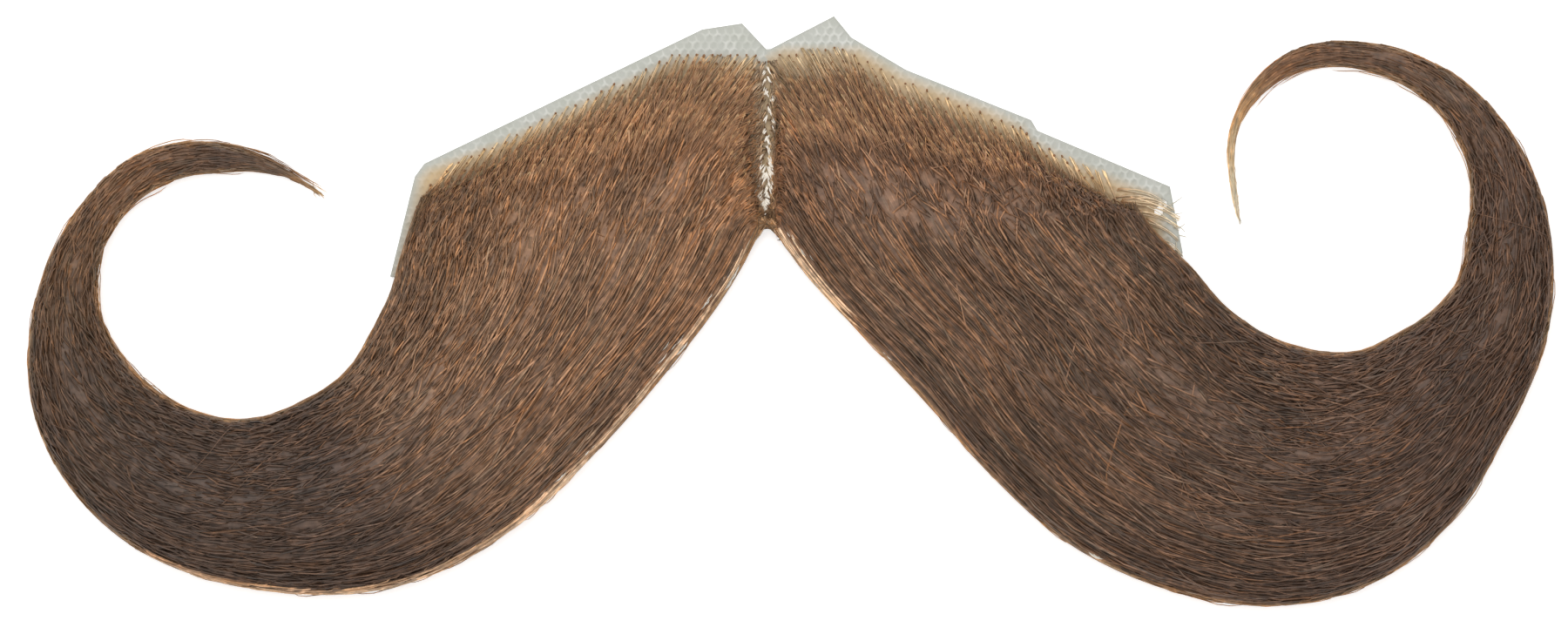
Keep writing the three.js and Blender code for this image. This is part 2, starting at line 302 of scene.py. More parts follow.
@dataclass(frozen=True)
class HairFinish:
    """Brown hair in which every strand has its own tone.

    A strand's colour is the tone at its place, times a shade for the strand with a fine grain,
    times a warm or an ashy cast for the strand, whose ashy grey partly paints the hair's sheen.
    The tones are positions and colours, from root to tip. The grain weakens over tip_span, and the
    light is how bright each shade is.
    """

    name: str
    tones: tuple[tuple[float, Colour], ...]
    roughness: float = 0.52
    index: float = 1.5
    warm: Colour = (1.0, 0.81, 0.6)
    plain: Colour = (1.0, 0.93, 0.86)
    cool: Colour = (0.98, 0.95, 0.97)
    ash_and_sheen: Colour = (0.84, 0.93, 0.99)
    light: Rows = ((0.0, 0.42), (0.3, 0.74), (0.6, 1.0), (0.88, 1.36), (1.0, 1.9))
    # rim is mixed in by the attribute rim: on the wings and the edge band, painted light shining through the
    # thin hair at the edges; on the tufts, their paler outer rows.
    rim: Colour = paint(176, 142, 104)
    rim_share: float = 0.7
    streak: float = 0.0
    cast_streak: float = 2.0
    fine_streaks: Span = (30.0, 900.0)
    broad_streaks: Span = (14.0, 300.0)
    grain: float = 1.5
    tip_grain: float = 0.5
    tip_span: Span = (0.8, 0.95)
    grain_scale: float = 1300.0

    def build(self) -> bpy.types.Material:
        """Make the material.

        Returns:
            A material that reads the attributes along, shade, cast and rim, and for streaks the map.
        """
        shader = Shader(self.name)
        along = shader.attribute("along")
        middle = shader.ramp(along, self.tones)
        tone = shader.blend("MIX", shader.attribute("rim") * self.rim_share, middle, self.rim)
        shade, cast = shader.attribute("shade"), shader.attribute("cast")
        start, end = self.tip_span
        grain = shader.between(along, (start, self.grain), (end, self.tip_grain))
        shade = shade + (shader.noise(shader.place(), self.grain_scale) - 0.5) * grain
        if self.streak:
            fine = self._streaks(shader, self.fine_streaks)
            broad = self._streaks(shader, self.broad_streaks)
            shade = shade + (fine - 0.5) * self.streak + (broad - 0.5) * self.streak
            cast = cast + (broad - 0.5) * self.cast_streak
        light = shader.ramp(shade, [(at, (grey,) * 3) for at, grey in self.light])
        hues = [(0.0, self.warm), (0.3, self.plain), (0.7, self.cool), (1.0, self.ash_and_sheen)]
        lit = shader.blend("MULTIPLY", 1.0, tone, light)
        colour = shader.blend("MULTIPLY", 1.0, lit, shader.ramp(cast, hues))
        shader.set(Base_Color=colour, Roughness=self.roughness, IOR=self.index)
        return shader.material

    @staticmethod
    def _streaks(shader: Shader, repeats: Span) -> Socket:
        """Noise drawn out along the hair.

        Args:
            shader: The graph.
            repeats: Repeats of the noise along the piece's map and round it.

        Returns:
            Noise from 0 to 1.
        """
        place = shader.node("ShaderNodeUVMap", {"uv_map": BAKE_MAP}, {})
        inputs = {0: place, 1: (*repeats, 1.0)}
        return shader.noise(shader.node("ShaderNodeVectorMath", {"operation": "MULTIPLY"}, inputs), 1.0)


@dataclass(frozen=True)
class LaceFinish:
    """Pale net stiffened with lacquer: light threads, a duller skin between them, and tan roots.

    The levels are the heights, in millimetres, at which the skin ends and the threads are full.
    """

    name: str = "lacquered_net"
    thread: Colour = paint(204, 204, 197)
    skin: Colour = paint(181, 182, 174)
    levels: Span = (0.26, 0.34)
    stain: Colour = paint(200, 168, 120)
    stain_share: float = 0.9
    cloud: Colour = (0.9, 0.91, 0.88)
    cloud_scale: float = 420.0
    roughness: float = 0.45
    coat: float = 0.25
    coat_roughness: float = 0.2

    def build(self) -> bpy.types.Material:
        """Make the material. The colour goes from skin to thread by the height in the mesh.

        Returns:
            A material that reads Object coordinates and the attribute stain.
        """
        shader = Shader(self.name)
        place = shader.place()
        height = shader.node("ShaderNodeSeparateXYZ", {}, {0: place}, "Z")
        low, high = self.levels
        crest = shader.between(height, (low * MM, 0.0), (high * MM, 1.0))
        blotch = shader.noise(place, self.cloud_scale)
        cloud = shader.ramp(blotch, [(0.3, self.cloud), (0.7, (1.0, 1.0, 1.0))])
        bare = shader.blend("MIX", crest, self.skin, self.thread)
        colour = shader.blend("MIX", shader.attribute("stain") * self.stain_share, bare, self.stain)
        shader.set(Base_Color=shader.blend("MULTIPLY", 1.0, colour, cloud), Roughness=self.roughness)
        shader.set(Coat_Weight=self.coat, Coat_Roughness=self.coat_roughness)
        return shader.material


@dataclass(frozen=True)
class PlainFinish:
    """One colour, mottled a little by noise on Object coordinates."""

    name: str
    colour: Colour
    roughness: float
    mottle: float = 0.2
    scale: float = 900.0
    coat: float = 0.0
    glow: float = 0.0

    def build(self) -> bpy.types.Material:
        """Make the material.

        Returns:
            A material that reads Object coordinates.
        """
        shader = Shader(self.name)
        noise = shader.noise(shader.place(), self.scale)
        spread = shader.ramp(noise, [(0.3, (1.0 - self.mottle,) * 3), (0.7, (1.0, 1.0, 1.0))])
        shader.set(Base_Color=shader.blend("MULTIPLY", 1.0, self.colour, spread))
        shader.set(Roughness=self.roughness, Coat_Weight=self.coat)
        shader.set(Emission_Color=self.colour, Emission_Strength=self.glow)
        return shader.material


# Meshes


@dataclass
class Shell:
    """A closed mesh as whole arrays, in millimetres."""

    points: Array
    faces: list[Array]
    map_uv: list[Array]
    numbers: dict[str, Array]

    def make(self, name: str, finish: bpy.types.Material, slot: Slot) -> bpy.types.Object:
        """Put the shell into Blender and tie it to the moustache.

        Args:
            name: The piece's name.
            finish: Its material.
            slot: The record's slot; not used.

        Returns:
            The new piece, at the origin, with its place in its mesh.
        """
        mesh = bpy.data.meshes.new(name)
        corners = np.concatenate([face.ravel() for face in self.faces])
        sides = np.concatenate([np.full(len(face), face.shape[1]) for face in self.faces])
        mesh.vertices.add(len(self.points))
        mesh.vertices.foreach_set("co", (self.points * MM).astype(np.float32).ravel())
        mesh.loops.add(len(corners))
        mesh.loops.foreach_set("vertex_index", corners.astype(np.int32))
        mesh.polygons.add(len(sides))
        starts = np.concatenate([[0], np.cumsum(sides)[:-1]])
        mesh.polygons.foreach_set("loop_start", starts.astype(np.int32))
        mesh.polygons.foreach_set("use_smooth", np.ones(len(sides), bool))
        for key, values in self.numbers.items():
            data = mesh.attributes.new(key, "FLOAT", "POINT").data
            data.foreach_set("value", values.astype(np.float32).ravel())
        layer = mesh.uv_layers.new(name=BAKE_MAP)
        places = np.concatenate([uv.reshape(-1, 2) for uv in self.map_uv])
        layer.uv.foreach_set("vector", places.astype(np.float32).ravel())
        mesh.update(calc_edges=True)
        mesh.validate()
        mesh.materials.append(finish)
        piece = bpy.data.objects.new(name, mesh)
        bpy.context.scene.collection.objects.link(piece)
        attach(piece, BODY)
        log.info("%s: %d triangles", name, int((sides - 2).sum()))
        return piece


def smooth_noise(rng: np.random.Generator, shape: tuple[int, int], at: tuple[Array, Array]) -> Array:
    """Noise that runs smoothly between random numbers on a grid, from -1 to 1.

    Between grid points the weight is 3t^2 - 2t^3 in each direction.

    Args:
        rng: Where the random numbers come from.
        shape: How many grid cells in each direction.
        at: Places from 0 to 1 in each direction.

    Returns:
        One number for each place.
    """
    grid = rng.uniform(-1, 1, (shape[0] + 2, shape[1] + 2))
    x, y = (np.clip(a, 0, 1) * n for a, n in zip(at, shape))
    i, j = x.astype(int), y.astype(int)
    s, t = x - i, y - j
    s, t = s * s * (3 - 2 * s), t * t * (3 - 2 * t)
    near = grid[i, j] * (1 - s) + grid[i + 1, j] * s
    far = grid[i, j + 1] * (1 - s) + grid[i + 1, j + 1] * s
    return near * (1 - t) + far * t


def bead(rng: np.random.Generator, span: Span, count: int, t: Array) -> Array:
    """Radii that swell from thin ends to the middle, as sqrt(1.02 - (2t)^2).

    Args:
        rng: Where the random numbers come from.
        span: The least and the greatest radius.
        count: How many strands.
        t: Places from -0.5 to 0.5 along a strand.

    Returns:
        The radii, as strand by ring.
    """
    return column(rng, span, count) * np.sqrt(1.02 - (2 * t) ** 2)


def tubes(paths: Array, radii: Array, roll: Array, numbers: dict[str, Array]) -> Shell:
    """Closed three-sided tubes along many paths at once.

    Each ring is path + radius * (cos a * normal + sin a * binormal), at three angles a a third of
    a turn apart, where the normal is square to the path and as near to +Z as it can be.

    Args:
        paths: Points, as strand by ring by xyz.
        radii: Radius at each ring, as strand by ring.
        roll: Angle of the first corner of each strand, in radians.
        numbers: Attributes, as strand by ring, or one row or column for all.

    Returns:
        All the tubes as one shell.
    """
    count, rings, _ = paths.shape
    along = np.gradient(paths, axis=1)
    along /= np.linalg.norm(along, axis=2, keepdims=True) + 1e-12
    across = np.cross(along, [0.0, 0.0, 1.0])
    across += np.array([1e-6, 0, 0])
    across /= np.linalg.norm(across, axis=2, keepdims=True)
    normal = np.cross(across, along)
    angle = roll[:, None] + 2 * np.pi * np.arange(SIDES) / SIDES
    cos, sin = np.cos(angle)[:, None, :, None], np.sin(angle)[:, None, :, None]
    spoke = cos * normal[:, :, None, :] + sin * across[:, :, None, :]
    points = paths[:, :, None, :] + np.broadcast_to(radii, (count, rings))[:, :, None, None] * spoke
    base = np.arange(count)[:, None, None] * rings * SIDES
    ring = np.arange(rings - 1)[None, :, None] * SIDES
    side = np.arange(SIDES)[None, None, :]
    a, b = base + ring + side, base + ring + (side + 1) % SIDES
    quads = np.stack([a, b, b + SIDES, a + SIDES], -1).reshape(-1, 4)
    first = base[:, :, 0] + np.array([2, 1, 0])
    last = base[:, :, 0] + (rings - 1) * SIDES + np.array([0, 1, 2])
    whole = {key: np.broadcast_to(value, (count, rings)) for key, value in numbers.items()}
    return Shell(
        points.reshape(-1, 3),
        [quads, first, last],
        tube_map(count, rings),
        {key: np.repeat(value[:, :, None], SIDES, axis=2) for key, value in whole.items()},
    )


def tube_map(count: int, rings: int, margin: float = 0.06) -> list[Array]:
    """The bake's map of many tubes: a square cell for each, in a square of cells.

    Args:
        count: How many tubes.
        rings: Rings in each.
        margin: The border left free in a cell.

    Returns:
        The corners' places for the sides, the first ends and the last.
    """
    columns = int(np.ceil(np.sqrt(count)))
    cell = np.stack([np.arange(count) % columns, np.arange(count) // columns], -1) / columns
    left = np.broadcast_to(np.arange(SIDES)[None, None, :] / SIDES, (count, rings - 1, SIDES))
    low = np.broadcast_to(np.arange(rings - 1)[None, :, None] / (rings - 1), left.shape)
    right, high = left + 1 / SIDES, low + 1 / (rings - 1)
    pairs = [(left, low), (right, low), (right, high), (left, high)]
    within = np.stack([np.stack(pair, -1) for pair in pairs], 3)
    sides = cell[:, None, None, None, :] + (margin + (1 - 2 * margin) * within) / columns
    corners = [np.array([[0.2, y], [0.5, y], [0.8, y]]) for y in (margin, 1 - margin)]
    return [sides, *(cell[:, None, :] + corner / columns for corner in corners)]


# The foundation


@dataclass(frozen=True)
class Lace:
    """The lace foundation: one piece of hexagonal net, trimmed to the lip.

    The outlines are rows of across, a share of the half width, and up, a share of the rise or,
    where negative, of the drop.
    """

    left_half: float = 41.0
    right_half: float = 44.9
    rise: float = 13.4
    drop: float = 16.5
    notch: float = 0.716
    foot: float = -0.588
    pitch: float = 0.9
    thread_height: float = 0.34
    skin_height: float = 0.26
    hole_length: float = 0.66
    hole_breadth: float = 0.38
    hole_lean: float = 64.0
    knot_margin: float = 1.05
    knot_ceiling: Span = (9.3, 10.3)
    stain_start: Span = (1.0, 0.1)
    stain_depth: float = 1.4
    stain_fade: float = 4.0
    corner_bare: float = 1.0
    corner_span: Span = (24.0, 9.0)
    knot_scatter: float = 0.06
    cut_hole: float = 0.55
    underside: float = 0.03
    edge_shade_step: float = 0.03
    fray_count: int = 9
    fray_radius: float = 0.08
    torn: Rows = (
        (42.6, -7.2), (42.3, -8.1), (43.1, -8.2), (41.8, -9.5), (43.8, -11.8), (42.9, -9.0), (44.4, -10.1),
    )
    torn_reach: float = 0.42
    torn_roots: Rows = ((37.6, -5.6), (38.4, -6.6), (38.6, -6.9), (39.2, -7.3), (40.4, -8.9), (42.0, -11.0))
    torn_goals: Rows = ((42.9, -6.6), (44.0, -7.2), (44.5, -8.2), (44.6, -9.2), (44.4, -10.5), (44.9, -12.3))
    torn_hairs: int = 5
    chevron_pitch: float = 1.04
    # Where down the parting the painted highlights crowd, with the hairs in a bundle and the extra bundles
    # there.
    shiny_patch: Span = (-7.0, -2.6)
    shiny_hairs: int = 5
    shiny_bundles: int = 44
    left_edge: Rows = ((0.067, 0.935), (0.172, 0.886), (0.905, -0.16), (0.93, -0.245), (0.995, -0.9))
    right_edge: Rows = (
        (0.16, 0.993), (0.202, 0.821), (0.334, 0.56), (0.635, 0.155), (0.65, 0.07), (0.969, -0.31),
        (1.0, -0.742),
    )
    left_lip: Rows = ((0.78, -1.0), (0.5, -0.955), (0.23, -0.8))
    right_lip: Rows = ((0.96, -0.885), (0.75, -0.98), (0.5, -0.94), (0.25, -0.8))

    def half(self, side: Side) -> float:
        """Distance from the parting to the lace's furthest point on one side."""
        return self.left_half if side is Side.LEFT else self.right_half

    def edge(self, side: Side) -> Rows:
        """The trimmed edge's rows on one side."""
        return self.left_edge if side is Side.LEFT else self.right_edge

    def corners(self, rows: Rows, side: Side) -> Array:
        """Turn rows of an outline into points.

        Args:
            rows: Shares across and up.
            side: The side that they are on.

        Returns:
            Points as x and y.
        """
        table = np.array(rows)
        y = np.where(table[:, 1] > 0, self.rise, self.drop) * table[:, 1]
        return np.stack([side.value * table[:, 0] * self.half(side), y], -1)

    def outline(self) -> Array:
        """The whole outline, from the notch round the left side and back along the right.

        Returns:
            The outline's points, without a repeat at the end.
        """
        left = self.corners(self.left_edge, Side.LEFT)
        right = self.corners(self.right_edge, Side.RIGHT)[::-1]
        left_lip = self.corners(self.left_lip, Side.LEFT)
        right_lip = self.corners(self.right_lip, Side.RIGHT)[::-1]
        foot, notch = [[0.0, self.foot * self.drop]], [[0.0, self.notch * self.rise]]
        lip = np.concatenate([left[-1:], left_lip, foot, right_lip, right[:1]])
        return np.concatenate([notch, left[:-1], self._rounded(lip), right[1:]])

    @staticmethod
    def _rounded(points: Array, steps: int = 5) -> Array:
        """Draw a smooth curve through points, by the Catmull-Rom formula.

        Args:
            points: The points as x and y.
            steps: Points of the curve for each stretch.

        Returns:
            The curve's points.
        """
        ends = np.concatenate([points[:1], points, points[-1:]])
        t = (np.arange(steps) / steps)[:, None, None]
        a, b, c, d = ends[:-3], ends[1:-2], ends[2:-1], ends[3:]
        square, cube = 2 * a - 5 * b + 4 * c - d, 3 * b - a - 3 * c + d
        curve = 0.5 * (2 * b + (c - a) * t + square * t**2 + cube * t**3)
        return np.concatenate([curve.transpose(1, 0, 2).reshape(-1, 2), points[-1:]])

    def nearest(self, points: Array) -> tuple[Array, Array]:
        """The nearest point of the outline, and whether each point is inside it.

        A point is inside when a ray from it along +X crosses the outline an odd number of times.

        Args:
            points: Places on the lace.

        Returns:
            The nearest outline points, and True for each place inside.
        """
        a = self.outline()
        b = np.roll(a, -1, axis=0)
        step = b - a
        offset = points[:, None, :] - a[None]
        share = np.clip((offset * step).sum(-1) / (step**2).sum(-1), 0, 1)
        foot = a + share[..., None] * step
        distance = lengths(points[:, None, :] - foot)
        best = distance.argmin(1)
        y = points[:, 1][:, None]
        crosses = (a[:, 1] > y) != (b[:, 1] > y)
        x_there = a[:, 0] + (y - a[:, 1]) * step[:, 0] / np.where(step[:, 1] == 0, 1, step[:, 1])
        inside = (crosses & (points[:, 0][:, None] < x_there)).sum(1) % 2 == 1
        return foot[np.arange(len(points)), best], inside

    def cells(self) -> Array:
        """Centres of the net's cells that lie on the lace, in horizontal rows half a cell apart.

        Returns:
            Places on the lace.
        """
        across = int(2 * self.right_half / self.pitch) + 4
        rows = int((self.rise + self.drop) / (self.pitch * np.sqrt(3) / 2)) + 4
        i, j = np.meshgrid(np.arange(-across, across), np.arange(-rows, rows), indexing="ij")
        x = self.pitch * (i + 0.5 * (j % 2))
        y = self.pitch * np.sqrt(3) / 2 * j
        places = np.stack([x, y], -1).reshape(-1, 2)
        return places[self.nearest(places)[1]]

    def knots(self) -> Array:
        """The knots: the top corner of every cell but for those near the cut edge and the peaks.

        Returns:
            Places on the lace, each moved a little at random.
        """
        places = self.cells() + [0.0, self.pitch / np.sqrt(3)]
        foot, inside = self.nearest(places)
        clear = lengths(places - foot) > self.knot_margin
        ceiling = np.where(places[:, 0] < 0, *self.knot_ceiling)
        places = places[inside & clear & (places[:, 1] < ceiling)]
        return places + np.random.default_rng(7).normal(0, self.knot_scatter, places.shape)

    def area(self) -> float:
        """The cut area, by the shoelace formula.

        Returns:
            Square millimetres.
        """
        p = self.outline()
        q = np.roll(p, -1, axis=0)
        return float(abs((p[:, 0] * q[:, 1] - q[:, 0] * p[:, 1]).sum()) / 2)

    def net(self) -> Shell:
        """The net: hexagonal cells whose rims are threads, with lacquer across each cell.

        A corner of a cell lies pitch / sqrt 3 from its centre. Corners that fewer than three cells
        share move to the nearest point of the outline, which makes the cut edge clean. The hole
        in a cell is the cell drawn in by two shares, one along its leaning threads and one across.

        Returns:
            One closed shell.
        """
        centres = self.cells()
        angle = np.pi / 6 + np.pi / 3 * np.arange(6)
        spokes = np.stack([np.cos(angle), np.sin(angle)], -1) * self.pitch / np.sqrt(3)
        corners = centres[:, None, :] + spokes
        keys = np.round(corners.reshape(-1, 2) / (self.pitch * 0.1)).astype(int)
        wanted = {"return_index": True, "return_inverse": True, "return_counts": True}
        _, first, index, uses = np.unique(keys, axis=0, **wanted)
        index = index.reshape(len(centres), 6)
        shared = corners.reshape(-1, 2)[first]
        foot, inside = self.nearest(shared)
        rim = ~inside | (uses < 3)
        shared = np.where(rim[:, None], foot, shared)
        for point in np.concatenate([self.corners(self.edge(side), side) for side in Side]):
            gap = np.where(rim, lengths(shared - point), np.inf)
            shared[gap.argmin()] = point
        count, cell_count = len(shared), len(centres)
        middle = shared[index].mean(1, keepdims=True)
        lean = np.radians(self.hole_lean)
        grain = np.array([np.cos(lean), np.sin(lean)])
        arm = shared[index] - middle
        long = (arm @ grain)[..., None] * grain
        cut = rim[index].any(1)[:, None, None]
        whole = self.hole_length * long + self.hole_breadth * (arm - long)
        hole = middle + np.where(cut, self.cut_hole * arm, whole)
        gap = lengths(middle - np.array(self.torn))
        kept = gap.min(1) > self.torn_reach
        rng = np.random.default_rng(3)
        crest = self.thread_height * rng.uniform(0.8, 1.1, count)
        # The cut edge's corners sit low, so the colour by height paints them in the duller skin colour: a
        # painted shade along the cut edge.
        lift = np.where(rim, self.skin_height + self.edge_shade_step, crest)
        top = np.column_stack([shared, lift])
        low = np.column_stack([shared, np.full(count, self.underside)])
        floor = np.column_stack([hole.reshape(-1, 2), np.full(cell_count * 6, self.skin_height)])
        points = np.concatenate([top, low, floor])
        hole_index = 2 * count + np.arange(cell_count * 6).reshape(-1, 6)[kept]
        index = index[kept]
        after = np.roll(np.arange(6), -1)
        rims = np.stack([index, index[:, after], hole_index[:, after], hole_index], -1).reshape(-1, 4)
        under = index[:, ::-1] + count
        faces = [rims, hole_index, under, self._walls(index, count)]
        maps = [self._flat_map(points, face, k) for k, face in enumerate(faces)]
        return Shell(points, faces, maps, {"stain": self._stain(points[:, :2])})

    def _stain(self, places: Array) -> Array:
        """How tan the net looks through the first hairs knotted in it.

        The bare strip along the cut edge narrows to nothing below the origin and widens again
        towards the right corner.

        Args:
            places: Points of the net as x and y.

        Returns:
            0 along the bare cut edge and on the peaks, rising to 1 where the hair is dense.
        """
        inwards = lengths(places - self.nearest(places)[0])
        left = places[:, 0] < 0
        below = np.where(left, *self.knot_ceiling) - places[:, 1]
        start = np.where(left, *self.stain_start) * climb(places[:, 1], -self.stain_fade, self.stain_fade)
        start = start + self.corner_bare * climb(places[:, 0], *self.corner_span)
        return np.clip(np.minimum(inwards - start, below) / self.stain_depth, 0, 1)

    @staticmethod
    def _walls(index: Array, count: int) -> Array:
        """Join top and underside along the cell sides that no other cell shares.

        Args:
            index: The six corners of each cell, as numbers of points of the top.
            count: Points of the top.

        Returns:
            The quads of the cut edge.
        """
        a, b = index.ravel(), np.roll(index, -1, axis=1).ravel()
        code = np.minimum(a, b) * (count + 1) + np.maximum(a, b)
        _, where, uses = np.unique(code, return_inverse=True, return_counts=True)
        alone = uses[where.ravel()] == 1
        a, b = a[alone], b[alone]
        return np.stack([b, a, a + count, b + count], -1)

    def _flat_map(self, points: Array, face: Array, part: int) -> Array:
        """The bake's map: the top seen flat in the upper half, the underside in the lower.

        Args:
            points: All the net's points.
            face: Faces as numbers of points.
            part: Which group of faces they are. The underside is group 2.

        Returns:
            A place for each corner of each face.
        """
        low, span = points[:, :2].min(0), np.ptp(points[:, :2], axis=0)
        uv = (points[face][..., :2] - low) / span * [0.98, 0.48] + 0.01
        uv[..., 1] += 0.0 if part == 2 else 0.5
        return uv

    def frayed(self) -> Shell:
        """Loose threads that curl out of the torn right corner.

        Each starts on the corner's edge and turns through a random arc as it leaves.

        Returns:
            The threads as tubes.
        """
        rng = np.random.default_rng(17)
        corner = self.corners(self.right_edge, Side.RIGHT)
        start, end = corner[-2], corner[-1]
        count, rings = self.fray_count, 9
        share = column(rng, (0.12, 0.95), count)
        root = start + (end - start) * share - [0.6, 0.0]
        heading = column(rng, (-0.9, 0.5), count)
        bend = column(rng, (-1.3, 1.3), count)
        length = column(rng, (0.7, 1.6), count)
        t = np.linspace(0, 1, rings)[None]
        turn = heading + bend * t
        step = length / (rings - 1)
        x = root[:, :1] + np.cumsum(np.cos(turn) * step, axis=1)
        y = root[:, 1:] + np.cumsum(np.sin(turn) * step, axis=1)
        z = 0.2 + 0.7 * column(rng, (0, 1), count) * np.sin(np.pi * 0.7 * t)
        radii = self.fray_radius * (1 - 0.5 * t)
        return tubes(np.stack([x, y, z], -1), radii, rng.uniform(0, ANY_ROLL, count), {})

    def torn_hair(self) -> Shell:
        """Tan lacquered hairs that fan out from the hair's edge over the torn corner.

        They run in bunches from roots to goals, bow upwards on the way and hook down at the end.

        Returns:
            The hairs as tubes.
        """
        rng = np.random.default_rng(23)
        each, rings = self.torn_hairs, 9
        n = each * len(self.torn_roots)
        bunches = self.torn_roots, self.torn_goals
        roots, goals = (np.repeat(rows, each, axis=0)[:, None, :] for rows in bunches)
        root = roots + rng.normal(0, 0.3, (n, 1, 2))
        goal = goals + rng.normal(0, 0.1, (n, 1, 2))
        t = np.linspace(0, 1, rings)[None, :]
        line = root + (goal - root) * t[..., None]
        bow = rng.normal(0.25, 0.15, (n, 1)) * np.sin(np.pi * t) - column(rng, (0.2, 0.6), n) * t**5
        z = 0.5 + 0.35 * np.sin(np.pi * t) * column(rng, (0, 1), n)
        paths = np.concatenate([line + np.stack([0 * bow, bow], -1), z[..., None]], -1)
        radii = column(rng, (0.05, 0.11), n) * (1 - 0.4 * t)
        shade = np.clip(rng.normal(0.62, 0.16, (n, 1)), 0, 1)
        numbers = {"along": t, "shade": shade, "cast": column(rng, (0.2, 0.9), n)}
        return tubes(paths, radii, rng.uniform(0, ANY_ROLL, n), numbers)

    def chevrons(self) -> Shell:
        """Short tufts that leave the parting to both sides in a herringbone.

        Returns:
            The tufts as tubes.
        """
        rng = np.random.default_rng(31)
        top, foot = self.notch * self.rise, self.foot * self.drop
        rows = np.arange(top - 1.2, foot + 1.6, -self.chevron_pitch)
        each, rings = 12, 6
        y0 = np.repeat(rows, 2 * each)[:, None]
        side = np.tile(np.repeat([-1.0, 1.0], each), len(rows))[:, None]
        n = len(y0)
        t = np.linspace(0, 1, rings)[None, :]
        lean = np.radians(rng.normal(58, 10, (n, 1)))
        length = column(rng, (0.8, 2.2), n)
        x0 = side * column(rng, (0.1, 1.1), n)
        y0 = y0 + rng.normal(0, 0.16, (n, 1))
        x = x0 + side * np.cos(lean) * length * t
        y = y0 - np.sin(lean) * length * t
        z = 0.55 + 0.5 * np.sin(np.pi * 0.8 * t) * column(rng, (0.6, 1.2), n) + 0.35 * np.abs(x)
        radii = column(rng, (0.05, 0.09), n) * (1 - 0.5 * t)
        shade = np.clip(rng.normal(0.45, 0.3, (n, 1)), 0, 1)
        numbers = {"along": t, "shade": shade, "cast": column(rng, (0.2, 0.9), n)}
        return tubes(np.stack([x, y, z], -1), radii, rng.uniform(0, ANY_ROLL, n), numbers)

    def parting_glints(self) -> Shell:
        """Lacquered hairs in small bundles between the tufts down the parting: painted highlights.

        Returns:
            The hairs as short tubes.
        """
        rng = np.random.default_rng(37)
        top, foot = self.notch * self.rise, self.foot * self.drop
        rows = np.arange(top - 2.2, foot + 0.5, -self.chevron_pitch)
        patch = rng.uniform(*self.shiny_patch, self.shiny_bundles)
        y0 = np.repeat(np.concatenate([rows, rows - 0.3, patch]), self.shiny_hairs)[:, None]
        n, rings = len(y0), 6
        t = np.linspace(-0.5, 0.5, rings)[None, :]
        open_part = np.clip(1.3 - np.abs(y0 - np.mean(self.shiny_patch)) / 2.4, 0, 1)
        bundle = np.repeat(rng.normal(0, 0.32, n // self.shiny_hairs), self.shiny_hairs)[:, None]
        x0 = bundle * (1 + 1.9 * open_part) + rng.normal(0, 0.07, (n, 1))
        y0 = y0 + rng.normal(0, 0.1, (n, 1))
        lean = np.radians(column(rng, (50, 78), n))
        length = column(rng, (0.4, 0.95), n)
        x = x0 + np.cos(lean) * np.sign(x0) * length * t
        y = y0 - np.sin(lean) * length * t
        radii = bead(rng, (0.05, 0.1), n, t)
        z = column(rng, (0.7, 1.25), n) + np.zeros_like(x)
        return tubes(np.stack([x, y, z], -1), radii, rng.uniform(0, ANY_ROLL, n), {})


# The hair


@dataclass(frozen=True)
class Section:
    """One section of a wing, on a ray from the centre of its curl.

    turn is in degrees from the line towards the parting. inner is a share of the curl's radius.
    The breadth is root times the distance across the roots plus belly times the belly's breadth.
    crown is a share of the hair's depth.
    """

    turn: float
    inner: float
    root: float
    belly: float
    crown: float


LEFT_SECTIONS = (
    Section(0, 1.16, 1, 0, 0.78),
    Section(10, 1.09, 0.5, 0.476, 0.9),
    Section(25, 1.064, 0.2, 0.771, 0.97),
    Section(40, 1.029, 0, 1.004, 1),
    Section(60, 0.98, 0, 0.91, 1),
    Section(85, 0.979, 0, 0.745, 0.97),
    Section(115, 0.964, 0, 0.636, 0.9),
    Section(145, 0.993, 0, 0.484, 0.8),
    Section(175, 1.057, 0, 0.288, 0.68),
    Section(205, 1.057, 0, 0.186, 0.58),
    Section(235, 1.0, 0, 0.17, 0.5),
    Section(265, 0.926, 0, 0.124, 0.4),
    Section(295, 0.943, 0, 0.048, 0.24),
    Section(314, 0.975, 0, 0.026, 0.11),
)

RIGHT_SECTIONS = (
    Section(0, 1.44, 1, 0, 0.78),
    Section(20, 1.193, 0.5, 0.445, 0.9),
    Section(35, 1.133, 0.2, 0.775, 0.97),
    Section(50, 1.087, 0, 1.027, 1),
    Section(65, 1.06, 0, 0.987, 1),
    Section(80, 1.04, 0, 0.933, 1),
    Section(95, 1.02, 0, 0.833, 0.97),
    Section(110, 0.967, 0, 0.687, 0.93),
    Section(125, 0.953, 0, 0.52, 0.88),
    Section(145, 0.947, 0, 0.395, 0.8),
    Section(170, 0.88, 0, 0.31, 0.7),
    Section(200, 0.913, 0, 0.207, 0.6),
    Section(230, 0.96, 0, 0.14, 0.5),
    Section(260, 1.0, 0, 0.103, 0.4),
    Section(290, 1.047, 0, 0.077, 0.3),
    Section(320, 0.98, 0, 0.034, 0.2),
    Section(350, 0.793, 0, 0.03, 0.14),
    Section(369, 0.747, 0, 0.02, 0.1),
)


@dataclass(frozen=True)
class Strands:
    """How one layer of hair lies. Lengths are in millimetres and stray is in degrees.

    reach is where round the section the strands lie, span where along the wing their middles
    lie, escape how far the last of each strand leaves the skin and dip how deep both ends go under
    it. shade is a mean and a spread.
    """

    count: int
    rings: int
    length: Span
    radius: Span
    depth: Span
    weave: float
    stray: float
    reach: Span = (-0.14, 1.14)
    span: Span = (0.0, 1.0)
    shade: Span = (0.5, 0.15)
    cast: Span = (0.0, 1.0)
    escape: Span = (0.0, 0.0)
    wander: float = 0.16
    dip: float = 0.6


